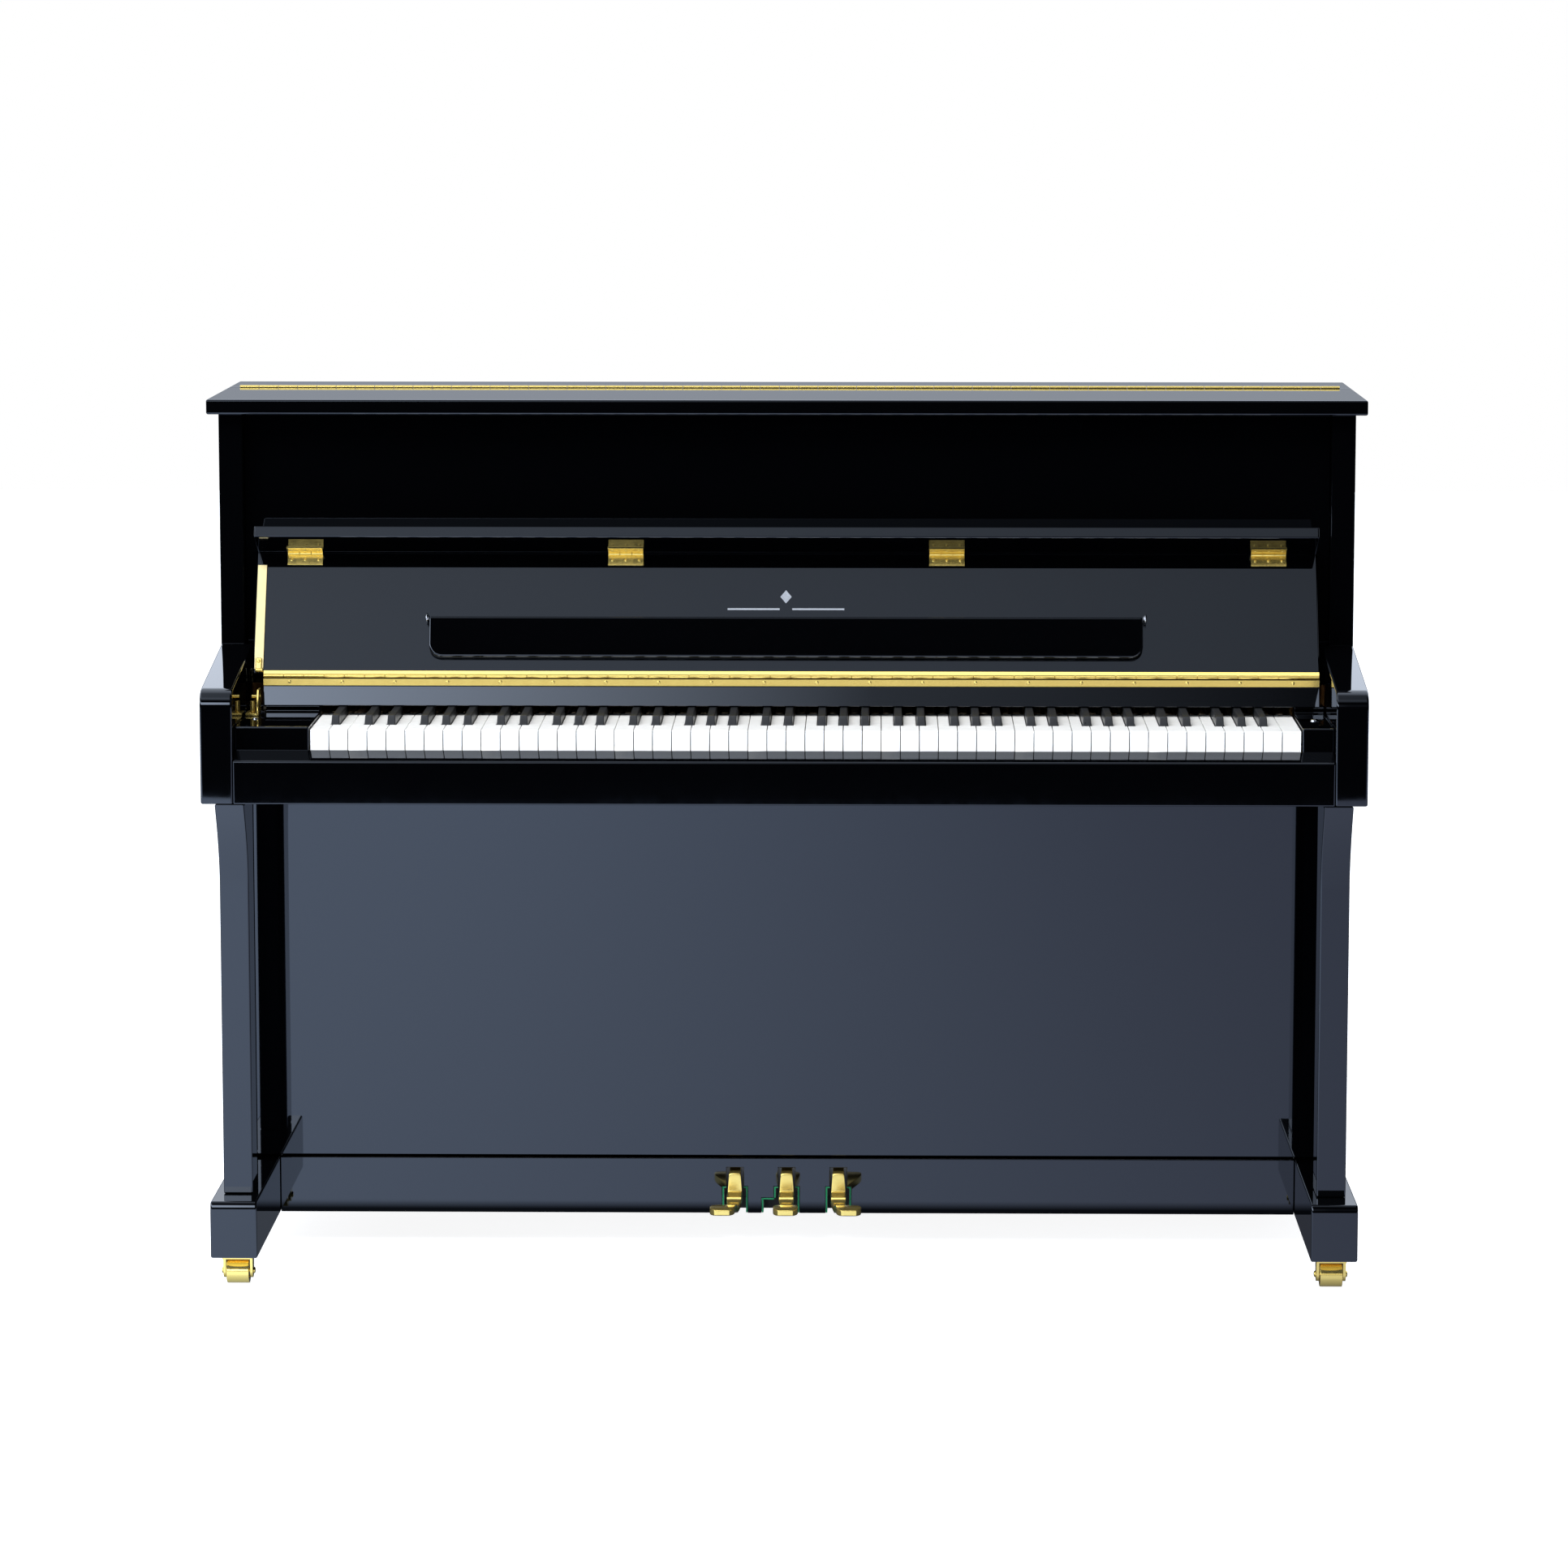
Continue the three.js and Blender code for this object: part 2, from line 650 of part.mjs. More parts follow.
function musicShelf() {
  const half = shelfWidth / 2;
  const r = shelfCornerRadius;
  const shape = new THREE.Shape();
  shape.moveTo(half, 0);
  shape.lineTo(-half, 0);
  shape.lineTo(-half, -shelfLength + r);
  shape.absarc(-half + r, -shelfLength + r, r, Math.PI, 1.5 * Math.PI);
  shape.lineTo(half - r, -shelfLength);
  shape.absarc(half - r, -shelfLength + r, r, 1.5 * Math.PI, 2 * Math.PI);
  const section = shapeOf([
    [0, 1], [-shelfThickness - 1, 1], [-shelfThickness, 0], [-shelfEdgeThickness, -shelfLength],
    [-shelfEdgeThickness, -shelfLength - 1], [0, -shelfLength - 1],
  ]);
  return common(alongY(shape, -shelfThickness - 1, 0), alongX(section, -half - 1, half + 1));
}

// The lip sits across the board's end, and turns on four butt hinges in the inner corner.
function buildLip(leaning) {
  const stand = lipHingeRadius + gap; // barrel centre to the inner faces
  const axisY = -stand;
  const axisZ = fallboardPanelLength - stand;
  const turned = new THREE.Group();
  turned.position.set(0, axisY, axisZ);
  leaning.add(turned);
  const front = stand - lipLength;
  const back = stand + fallboardThickness;
  const outer = stand + lipThickness;
  const section = new THREE.Shape();
  section.moveTo(front, stand);
  section.lineTo(back, stand);
  section.lineTo(back, outer - lipCornerRadius);
  section.absarc(back - lipCornerRadius, outer - lipCornerRadius, lipCornerRadius, 0, Math.PI / 2);
  section.lineTo(front, outer);
  add('fallboard_lip', alongX(section, fallboardLeft + lipInset, fallboardRight - lipInset), lacquer, turned);
  const span = fallboardWidth - 2 * lipHingeInset;
  for (let i = 0; i < 4; i += 1) {
    const x = fallboardLeft + lipHingeInset + (span * i) / 3;
    const ends = [x - lipHingeWidth / 2, x + lipHingeWidth / 2];
    const leafTop = stand - gap;
    const hinge = joined([
      barX(lipHingeRadius, ...ends, 0, 0, 8),
      block(ends, [leafTop - leafThickness, leafTop], [-lipHingeLeaf, 0]),
    ]);
    const mesh = add(`lip_hinge_${i + 1}`, hinge, brass, leaning);
    mesh.position.set(0, axisY, axisZ);
  }
}

// The continuous hinge: its fixed leaf on the name board, and the barrel.
function buildFallHinge() {
  const leafBack = behind(nameBoardSetback) - gap;
  const leaf = block([nameBoardLeft, fallboardRight], [leafBack - leafThickness, leafBack],
    [fallboardAxisZ - fallHingeLeaf, fallboardAxisZ]);
  const barrel = barX(fallHingeRadius, nameBoardLeft, fallboardRight, fallboardAxisY, fallboardAxisZ, 8);
  add('fallboard_hinge', joined([barrel, leaf]), brass);
}

// ---------------------------------------------------------------- pedals
// A pedal is its outline from above, kept only where its outline from the side is.
function buildPedals() {
  const places = { pedal_left: -1, pedal_middle: 0, pedal_right: 1 };
  for (const [name, place] of Object.entries(places)) {
    const pedal = add(name, pedalGeometry(place * pedalToeSweep), brass);
    pedal.position.x = place * pedalSpacing;
  }
}

function pedalGeometry(sweep) {
  const stem = pedalStemWidth / 2;
  const toe = pedalToeWidth / 2;
  const rear = behind(pedalPivotSetback + pedalTail);
  const neck = behind(pedalNeckSetback);
  const ball = behind(pedalToeSetback);
  const tip = ball - toe;
  const plan = new THREE.Shape();
  plan.moveTo(-stem, rear);
  plan.lineTo(-stem, neck);
  plan.bezierCurveTo(-stem, neck - 20, sweep - toe, ball + 20, sweep - toe, ball);
  plan.absarc(sweep, ball, toe, Math.PI, 2 * Math.PI);
  plan.bezierCurveTo(sweep + toe, ball + 20, stem, neck - 20, stem, neck);
  plan.lineTo(stem, rear);
  const top = casterHeight + pedalStemTop;
  const toeLevel = top - pedalToeDrop;
  const side = new THREE.Shape();
  side.moveTo(rear + 1, top);
  side.lineTo(neck + 34, top);
  side.bezierCurveTo(neck + 24, top, neck + 8, toeLevel + 14, neck - 4, toeLevel + 6);
  side.lineTo(ball, toeLevel);
  side.lineTo(tip - 1, toeLevel - 3);
  side.lineTo(tip - 1, toeLevel - 8);
  side.lineTo(ball, toeLevel - 11);
  side.lineTo(neck - 4, toeLevel - 7);
  side.bezierCurveTo(neck + 10, toeLevel - 2, neck + 24, top - pedalStemThickness,
    neck + 36, top - pedalStemThickness);
  side.lineTo(rear + 1, top - pedalStemThickness);
  const widest = toe + Math.abs(sweep) + 1;
  return common(alongZ(plan, casterHeight - 20, toeTop, 5), alongX(side, -widest, widest, 5));
}

// ---------------------------------------------------------------- back, soundboard and plate
function buildBack() {
  const half = innerHalf - gap;
  const posts = [];
  for (let i = 0; i < postCount; i += 1) {
    const x = -half + postWidth / 2 + ((2 * half - postWidth) * i) / (postCount - 1);
    posts.push(block([x - postWidth / 2, x + postWidth / 2], [postFront, back], [frameBottom, frameTop]));
  }
  const across = [-half, half];
  const beams = [
    block(across, [postFront, back], [frameBottom, frameBottom + bottomBeamHeight]),
    block(across, [postFront, back], [frameTop - topBeamHeight, frameTop]),
  ];
  const boardBottom = frameBottom + bottomBeamHeight - linerHeight;
  const boardTop = frameTop - pinBlockInset - pinBlockHeight - gap;
  const linerSpan = [postFront - linerDepth, postFront + 1];
  const liners = [
    block(across, linerSpan, [boardBottom, boardBottom + linerHeight]),
    block(across, linerSpan, [boardTop - linerHeight, boardTop]),
  ];
  add('back_frame', joined([...posts, ...beams, ...liners]), beech);
  const boardBack = postFront - linerDepth - gap;
  const boardHalf = half - soundboardSideInset;
  const board = block([-boardHalf, boardHalf], [boardBack - soundboardThickness, boardBack],
    [boardBottom, boardTop]);
  const ribZone = block([-boardHalf + 10, boardHalf - 10], [boardBack - 1, boardBack + ribDepth],
    [boardBottom + linerHeight + 6, boardTop - linerHeight - 6]);
  add('soundboard', toGeometry(toSolid(board).add(ribs(boardHalf, boardBack, boardBottom, boardTop)
    .intersect(toSolid(ribZone)))), spruce);
  addBlock('pin_block', [-half, half],
    [behind(plateFront + plateThickness) + gap, postFront - gap],
    [boardTop + gap, frameTop - pinBlockInset], beech);
  add('iron_plate', ironPlate(half), bronzedIron);
}

// Parallel diagonal ribs across the soundboard's back, longer than the board.
function ribs(boardHalf, boardBack, boardBottom, boardTop) {
  const middle = (boardBottom + boardTop) / 2;
  const reach = 2 * boardHalf;
  const bars = [];
  for (let i = 0; i < ribCount; i += 1) {
    const along = (i - (ribCount - 1) / 2) * ((1.5 * boardHalf) / (ribCount - 1)) * 1.35;
    const bar = new THREE.BoxGeometry(reach, ribDepth + 1, ribWidth);
    bar.rotateY(-ribSlope).translate(along, boardBack + (ribDepth - 1) / 2, middle);
    bars.push(toSolid(bar));
  }
  return bars.reduce((whole, bar) => whole.add(bar));
}

// A cast plate: a border, a solid head for the tuning pins, and struts between the windows.
function ironPlate(half) {
  const plateHalf = half - plateSideInset;
  const bottom = frameBottom + plateFootRise;
  const top = frameTop - plateTopInset;
  const shape = shapeOf([
    [-plateHalf, bottom + plateBorder], [-plateHalf + plateBorder, bottom],
    [plateHalf - plateBorder, bottom], [plateHalf, bottom + plateBorder], [plateHalf, top],
    [-plateHalf, top],
  ]);
  const windowWidth = (2 * (plateHalf - plateBorder) - (plateWindows - 1) * plateStrut) / plateWindows;
  const faces = [behind(plateFront), behind(plateFront + plateThickness)];
  const windows = [];
  for (let i = 0; i < plateWindows; i += 1) {
    const x0 = -plateHalf + plateBorder + i * (windowWidth + plateStrut);
    windows.push(block([x0, x0 + windowWidth], [faces[0] - 1, faces[1] + 1],
      [bottom + plateBorder * 1.6, top - plateHeadHeight]));
  }
  return cut(alongY(shape, ...faces), windows);
}

// ---------------------------------------------------------------- action
// Sections of hammers stand between brackets; rails run the whole length.
const actionLeft = keyLeft - 11;
const actionRight = keyRight + 11;
const actionBreaks = [1 / 3, 2 / 3].map((share) => actionLeft + (actionRight - actionLeft) * share);

function buildAction() {
  const base = keyBedTop + gap;
  const top = keyBedTop + actionHeight;
  const railBottom = keyBedTop + hammerPivotRise - actionRailDepth;
  const railTop = keyBedTop + hammerPivotRise + actionRailDepth / 2;
  const y0 = behind(actionBracketFront);
  const y1 = y0 + actionBracketDepth;
  const places = [actionLeft, ...actionBreaks, actionRight];
  const brackets = places.map((x) => [x - actionBracketThickness / 2, x + actionBracketThickness / 2]);
  const parts = brackets.flatMap((span) => [
    block(span, [y0, y1], [base, top]),
    block(span, [y0 - 6, y0 + actionBracketFoot], [base, base + 10]),
  ]);
  const rail = block([actionLeft, actionRight], [y0 - 6, y1], [railBottom, railTop]);
  add('action_frame', joined([...parts, rail]), beech);
  add('hammer_rail', hammerRow(), felt);
  add('damper_rail', damperRow(), felt);
  const mufflerBottom = keyBedTop + mufflerRise;
  addBlock('muffler_rail', [keyLeft, keyRight],
    [behind(mufflerSetback), behind(mufflerSetback) + mufflerThickness],
    [mufflerBottom, mufflerBottom + mufflerHeight], felt);
}

// The rest rail, with a block for each section of hammers that lean on it.
function hammerRow() {
  const y = behind(hammerPivotSetback);
  const z = keyBedTop + hammerPivotRise;
  const inset = actionBracketThickness / 2 + 6;
  const section = shapeOf([
    [y - 8, z - 8], [y + 8, z - 8], [y + 8, z + 8], [y + 2, z + 8], [y + 2, z + 91],
    [y + 30, z + 96], [y + 30, z + 116], [y - 4, z + 121], [y - 4, z + 8], [y - 8, z + 8],
  ]);
  const edges = [actionLeft, ...actionBreaks, actionRight];
  const pieces = [];
  for (let i = 0; i < edges.length - 1; i += 1) {
    pieces.push(alongX(section, edges[i] + inset, edges[i + 1] - inset));
  }
  pieces.push(block([actionLeft + inset, actionRight - inset], [y - 26, y - 3], [z + 54, z + 76]));
  return joined(pieces);
}

function damperRow() {
  const y = behind(damperPivotSetback);
  const z = keyBedTop + damperPivotRise;
  const section = shapeOf([
    [y - 4, z - 8], [y + 5, z - 8], [y + 5, z + 34], [y + 24, z + 34], [y + 24, z + 66],
    [y + 2, z + 66], [y - 4, z + 40],
  ]);
  return alongX(section, keyLeft, keyRight);
}

buildCase();
buildLid();
buildCasters();
buildKeyBed();
buildKeyFrame();
buildKeys();
buildFallboard();
buildPedals();
buildBack();
buildAction();

export default piano;
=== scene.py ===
# Looks of an upright piano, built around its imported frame. Blender 4.5, metres, +Z up, +Y to the wall.
import bpy
import json
import math
import random
from mathutils import Matrix, Vector


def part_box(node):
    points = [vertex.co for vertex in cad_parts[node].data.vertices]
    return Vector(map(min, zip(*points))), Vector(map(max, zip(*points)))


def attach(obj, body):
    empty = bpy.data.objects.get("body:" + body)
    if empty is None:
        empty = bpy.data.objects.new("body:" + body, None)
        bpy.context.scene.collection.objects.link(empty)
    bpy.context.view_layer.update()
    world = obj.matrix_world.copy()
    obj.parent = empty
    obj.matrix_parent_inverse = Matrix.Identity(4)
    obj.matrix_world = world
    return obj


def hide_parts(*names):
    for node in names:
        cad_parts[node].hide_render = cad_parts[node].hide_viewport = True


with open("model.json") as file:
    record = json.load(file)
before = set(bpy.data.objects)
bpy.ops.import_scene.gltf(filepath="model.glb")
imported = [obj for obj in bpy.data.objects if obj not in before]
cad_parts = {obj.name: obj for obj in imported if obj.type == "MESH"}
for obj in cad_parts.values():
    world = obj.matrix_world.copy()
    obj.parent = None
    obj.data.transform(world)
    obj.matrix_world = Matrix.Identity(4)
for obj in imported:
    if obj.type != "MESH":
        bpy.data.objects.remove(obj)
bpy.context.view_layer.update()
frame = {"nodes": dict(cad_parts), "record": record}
random.seed(88)

MM = 0.001
shift = Matrix.Translation
scene = bpy.context.scene
BRASS_WORK = bpy.data.collections.new("brass_work")


# ---------------------------------------------------------------- modelling helpers
def deselect():
    if bpy.context.mode != "OBJECT":
        bpy.ops.object.mode_set(mode="OBJECT")
    bpy.ops.object.select_all(action="DESELECT")


def leave_edit():
    bpy.ops.object.mode_set(mode="OBJECT")


def activate(obj):
    deselect()
    obj.select_set(True)
    bpy.context.view_layer.objects.active = obj


def settle(obj):
    """Puts the object's place into its mesh, and its origin at the frame's."""
    activate(obj)
    bpy.ops.object.transform_apply(location=True, rotation=True, scale=True)
    return obj


def mm(x, y, z):
    """A point given in millimetres."""
    return Vector((x, y, z)) * MM


def added(name):
    obj = bpy.context.object
    obj.name = name
    return obj


def block(name, low, high):
    deselect()
    low, high = Vector(low), Vector(high)
    bpy.ops.mesh.primitive_cube_add(size=1, location=(low + high) / 2)
    obj = added(name)
    obj.scale = high - low
    return settle(obj)


def rod(name, start, end, radius, sides=16, tip=None):
    """A round bar between two points, tapering to the radius tip where one is given."""
    deselect()
    start, end = Vector(start), Vector(end)
    axis = end - start
    turn = axis.to_track_quat("Z", "Y").to_euler()
    bpy.ops.mesh.primitive_cone_add(
        vertices=sides, radius1=radius, radius2=radius if tip is None else tip,
        depth=axis.length, location=(start + end) / 2, rotation=turn,
    )
    return settle(added(name))


def pick_faces(obj, test):
    """Enters edit mode with only the faces that pass the test selected."""
    activate(obj)
    bpy.ops.object.mode_set(mode="EDIT")
    bpy.ops.mesh.select_mode(type="FACE")
    bpy.ops.mesh.select_all(action="DESELECT")
    leave_edit()
    for face in obj.data.polygons:
        face.select = test(face)
    bpy.ops.object.mode_set(mode="EDIT")


def extrude(way=(0, 0, 0)):
    bpy.ops.mesh.extrude_region_move(TRANSFORM_OT_translate={"value": way})


def modify(obj, kind, **settings):
    modifier = obj.modifiers.new(kind.title(), kind)
    for key, value in settings.items():
        setattr(modifier, key, value)
    activate(obj)
    bpy.ops.object.modifier_apply(modifier=modifier.name)


def smooth(obj, degrees=40):
    """Smooth shading over the small faces, with the large flat ones left flat."""
    activate(obj)
    bpy.ops.object.shade_smooth_by_angle(angle=math.radians(degrees))
    modify(obj, "WEIGHTED_NORMAL", mode="FACE_AREA", weight=100, keep_sharp=True)
    return obj


def bevel(obj, width, segments=3, degrees=30):
    modify(obj, "BEVEL", width=width, segments=segments, limit_method="ANGLE",
           angle_limit=math.radians(degrees))


def round_edges(obj, width, segments=3, degrees=30):
    bevel(obj, width, segments, degrees)
    return smooth(obj)


def join(pieces, name):
    activate(pieces[0])
    for piece in pieces[1:]:
        piece.select_set(True)
    bpy.ops.object.join()
    return added(name)


def placed(obj, name, matrix):
    """A copy with its own mesh, which the matrix moves and turns."""
    twin = obj.copy()
    twin.data = obj.data.copy()
    twin.name = name
    scene.collection.objects.link(twin)
    twin.data.transform(matrix)
    return twin


def copied(obj, name, offset):
    return placed(obj, name, shift(offset))


def repeated(obj, matrices, name):
    """The object repeated at each matrix, as one piece. The pattern itself is used up."""
    twins = [placed(obj, name, matrix) for matrix in matrices]
    bpy.data.objects.remove(obj)
    return join(twins, name)


def row_of(obj, offsets, name):
    return repeated(obj, [shift(offset) for offset in offsets], name)


def moved(obj, matrix):
    obj.data.transform(matrix)
    obj.data.update()
    return obj


def copy_of_node(node, name):
    """A clean copy of a frame node: loose triangles merged and flat faces made whole."""
    twin = frame["nodes"][node].copy()
    twin.data = frame["nodes"][node].data.copy()
    twin.name = name
    twin.parent = None
    for key in list(twin.keys()):
        del twin[key]
    scene.collection.objects.link(twin)
    activate(twin)
    bpy.ops.object.mode_set(mode="EDIT")
    bpy.ops.mesh.select_all(action="SELECT")
    bpy.ops.mesh.remove_doubles(threshold=0.02 * MM)
    bpy.ops.mesh.dissolve_limited(angle_limit=math.radians(0.5))
    leave_edit()
    return twin


def fit_out(obj, body, finish, replaces=()):
    """Gives a piece its finish, the body it rides on and the nodes that it stands for."""
    obj.data.materials.clear()
    obj.data.materials.append(FINISH[finish])
    if finish in ("brass", "pale_brass"):
        BRASS_WORK.objects.link(obj)
    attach(obj, body)
    if replaces:
        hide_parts(*replaces)
    return obj


def fit_brass(obj, body, *nodes):
    return fit_out(obj, body, "brass", nodes)


# ---------------------------------------------------------------- camera, floor and light
# Levels of the room that the lacquer mirrors, by height: 0 is level, 1 is straight up.
BACK_WALL = [(0.0, 0.15), (0.09, 0.19), (0.22, 0.42), (0.34, 1.0), (0.6, 0.6)]
BACK_WALL_SCALE = 2.1
CEILING = [(0.5, 0.0), (0.68, 1.0), (0.85, 0.6), (1.0, 0.6)]
CEILING_LEVEL = 0.75
CEILING_FALL = 2.2
WINDOW_LEVEL = 5.0
# The floor's painted light: the glow that every ray but the camera's sees, bright and blue-white on the
# left and dimmer on the right.
FLOOR_PAINTED_LIGHT_LEFT = (1.37, 1.60, 2.05)
FLOOR_PAINTED_LIGHT_RIGHT = (0.65, 0.71, 0.94)
FLOOR_PAINTED_LIGHT_HALF_WIDTH = 1.1
# How much of the floor's painted glow is thrown along the range, in Y, that runs from the front to under
# the piano: full in front, almost none under the piano.
FLOOR_PAINTED_LIGHT_DEPTH = (-3.2, 0.2)
FLOOR_PAINTED_LIGHT_STOPS = [(0.0, 1.0), (0.855, 1.0), (0.87, 0.05)]
WINDOW_HEIGHT = [(0.12, 0.0), (0.15, 1.0), (0.27, 1.0), (0.33, 0.0)]
WINDOW_ACROSS = [(0.3, 1.0), (0.38, 1.0), (0.5, 0.1), (0.58, 0.01)]


def place_camera():
    """A long lens in front of the piano, a little to its right and above the lid."""
    bpy.ops.object.camera_add(location=(0.1112, -7.067, 1.5555))
    camera = added("camera")
    aim = Vector((0.001, -0.295, 0.641)) - camera.location
    camera.rotation_euler = aim.to_track_quat("-Z", "Y").to_euler()
    camera.data.lens = 127.2
    camera.data.sensor_width = 36
    camera.data.clip_end = 60
    scene.camera = camera


def build_stage():
    """A pale floor that ends in front, so the upper panel has only the dark to reflect."""
    floor_front, floor_back, half_width = -4.65, 12.0, 7.0
    deselect()
    bpy.ops.mesh.primitive_plane_add(size=1, location=(0, (floor_front + floor_back) / 2, 0))
    floor = added("floor")
    floor.scale = (2 * half_width, floor_back - floor_front, 1)
    settle(floor)
    floor.data.materials.append(floor_paper())


def floor_paper():
    """Bright white paper to the camera. Every other ray sees a glowing sheet of painted light, which the
    lacquer mirrors: bluer, brighter on the left and dimmer to the right.
    """
    material, shader = new_material("floor_paper")
    tree = material.node_tree
    nodes, links = tree.nodes, tree.links
    set_sockets(shader, {"Base Color": (0.62, 0.64, 0.67, 1), "Roughness": 0.9,
                         "Specular IOR Level": 0.1})
    place = nodes.new("ShaderNodeSeparateXYZ")
    links.new(nodes.new("ShaderNodeTexCoord").outputs["Object"], place.inputs[0])
    across = nodes.new("ShaderNodeMapRange")
    set_sockets(across, {"From Min": -FLOOR_PAINTED_LIGHT_HALF_WIDTH, "From Max": FLOOR_PAINTED_LIGHT_HALF_WIDTH})
    across.interpolation_type = "SMOOTHSTEP"
    links.new(place.outputs["X"], across.inputs["Value"])
    # Painted light: the glow's colour, running from bright on the left to dim on the right.
    cast = nodes.new("ShaderNodeMixRGB")
    links.new(across.outputs[0], cast.inputs["Fac"])
    cast.inputs["Color1"].default_value = (*FLOOR_PAINTED_LIGHT_LEFT, 1)
    cast.inputs["Color2"].default_value = (*FLOOR_PAINTED_LIGHT_RIGHT, 1)
    lit = nodes.new("ShaderNodeEmission")
    set_sockets(lit, {"Color": (1, 1, 1, 1), "Strength": 0.9})
    # The painted glow that lights and is mirrored by the piano. It is not a lamp.
    thrown = nodes.new("ShaderNodeEmission")
    depth = nodes.new("ShaderNodeMapRange")
    set_sockets(depth, {"From Min": FLOOR_PAINTED_LIGHT_DEPTH[0], "From Max": FLOOR_PAINTED_LIGHT_DEPTH[1]})
    links.new(place.outputs["Y"], depth.inputs["Value"])
    links.new(ramp(tree, depth.outputs[0], FLOOR_PAINTED_LIGHT_STOPS), thrown.inputs["Strength"])
    links.new(cast.outputs[0], thrown.inputs["Color"])
    bright = nodes.new("ShaderNodeAddShader")
    links.new(lit.outputs[0], bright.inputs[0])
    links.new(shader.outputs[0], bright.inputs[1])
    seen_or_thrown(tree, bright, thrown, nodes["Material Output"])
    return material


def seen_or_thrown(tree, seen, thrown, output):
    """The camera sees one shader, and everything else is lit by the other."""
    path = tree.nodes.new("ShaderNodeLightPath")
    mix = tree.nodes.new("ShaderNodeMixShader")
    for source, socket in zip((path.outputs["Is Camera Ray"], thrown.outputs[0], seen.outputs[0]),
                              mix.inputs):
        tree.links.new(source, socket)
    tree.links.new(mix.outputs[0], output.inputs["Surface"])


def ramp(tree, value, stops):
    """Maps a value to a level through the given positions."""
    node = tree.nodes.new("ShaderNodeValToRGB")
    marks = node.color_ramp.elements
    while len(marks) < len(stops):
        marks.new(1.0)
    for mark, (position, level) in zip(marks, stops):
        mark.position = position
        mark.color = (level, level, level, 1)
    tree.links.new(value, node.inputs[0])
    return node.outputs["Color"]


def build_world():
    """A white room behind and above, dark in front. The camera itself sees plain white."""
    world = bpy.data.worlds.new("studio")
    scene.world = world
    world.use_nodes = True
    tree = world.node_tree
    nodes, links = tree.nodes, tree.links
    nodes.clear()
    output = nodes.new("ShaderNodeOutputWorld")
    seen = nodes.new("ShaderNodeBackground")
    seen.inputs["Color"].default_value = (1, 1, 1, 1)
    room = nodes.new("ShaderNodeBackground")
    coords = nodes.new("ShaderNodeTexCoord")
    split = nodes.new("ShaderNodeSeparateXYZ")
    links.new(coords.outputs["Generated"], split.inputs[0])
    behind = ramp(tree, split.outputs["Y"], [(0.0, 0.0), (0.3, 1.0)])
    before = math_node(tree, "SUBTRACT", 1.0, behind)
    wall = times(tree, ramp(tree, split.outputs["Z"], BACK_WALL), BACK_WALL_SCALE, behind)
    side = plus(tree, times(tree, split.outputs["X"], -CEILING_FALL), CEILING_LEVEL)
    ceiling = times(tree, ramp(tree, split.outputs["Z"], CEILING), before, side)
    total = plus(tree, wall, ceiling, times(tree, low_window(tree, split), before))
    tint = nodes.new("ShaderNodeVectorMath")
    tint.operation = "SCALE"
    tint.inputs[0].default_value = (0.88, 0.96, 1.1)
    links.new(total, tint.inputs["Scale"])
    links.new(tint.outputs[0], room.inputs["Color"])
    seen_or_thrown(tree, seen, room, output)


def low_window(tree, split):
    """A low bright window far off to the left, which only the name board leans enough to catch."""
    height = ramp(tree, split.outputs["Z"], WINDOW_HEIGHT)
    across = ramp(tree, plus(tree, split.outputs["X"], 0.5), WINDOW_ACROSS)
    return times(tree, height, across, WINDOW_LEVEL)


def softbox(name, location, aim, size, power, mirrored=True):
    bpy.ops.object.light_add(type="AREA", location=location)
    light = added(name)
    light.rotation_euler = (Vector(aim) - light.location).to_track_quat("-Z", "Y").to_euler()
    light.data.shape = "RECTANGLE"
    light.data.size, light.data.size_y = size
    light.data.energy = power
    light.visible_glossy = mirrored
    return light


def build_lights():
    """Soft light from above and the left, and two cards in front that only the brass mirrors."""
    softbox("softbox_over", (-0.5, -1.9, 4.2), (0, 0, 0.5), (4.5, 3.0), 300, mirrored=False)
    softbox("softbox_left", (-4.2, -2.4, 2.8), (0, 0, 0.6), (2.2, 2.6), 70, mirrored=False)
    low = softbox("brass_card_low", (-0.4, -4.5, 0.6), (-0.4, 0, 0.6), (6.5, 1.0), 14)
    high = softbox("brass_card_high", (-0.4, -3.8, 4.6), (-0.4, 0, 0.8), (6.5, 1.9), 48)
    for card in (low, high):
        card.visible_camera = False
        card.light_linking.receiver_collection = BRASS_WORK
    scene.view_settings.view_transform = "Standard"
    scene.view_settings.look = "None"


# ---------------------------------------------------------------- materials
def new_material(name):
    material = bpy.data.materials.new(name)
    material.use_nodes = True
    return material, material.node_tree.nodes["Principled BSDF"]


def set_sockets(node, values):
    for socket, value in values.items():
        node.inputs[socket].default_value = value


def new_group(name, inputs, outputs):
    """An empty shader node group with named float inputs and colour, value or normal outputs."""
    group = bpy.data.node_groups.new(name, "ShaderNodeTree")
    for label, default in inputs.items():
        kind = "NodeSocketColor" if isinstance(default, tuple) else "NodeSocketFloat"
        socket = group.interface.new_socket(name=label, in_out="INPUT", socket_type=kind)
        socket.default_value = default
    for label, kind in outputs.items():
        group.interface.new_socket(name=label, in_out="OUTPUT", socket_type=kind)
    source = group.nodes.new("NodeGroupInput").outputs
    sink = group.nodes.new("NodeGroupOutput").inputs
    place = group.nodes.new("ShaderNodeTexCoord").outputs["Object"]
    return group, place, source, sink


def noise_node(tree, vector, scale, detail, socket=None):
    noise = tree.nodes.new("ShaderNodeTexNoise")
    set_sockets(noise, {"Scale": scale, "Detail": detail, "Roughness": 0.55})
    tree.links.new(vector, noise.inputs["Vector"])
    if socket is not None:
        tree.links.new(socket, noise.inputs["Scale"])
    return noise.outputs["Fac"]


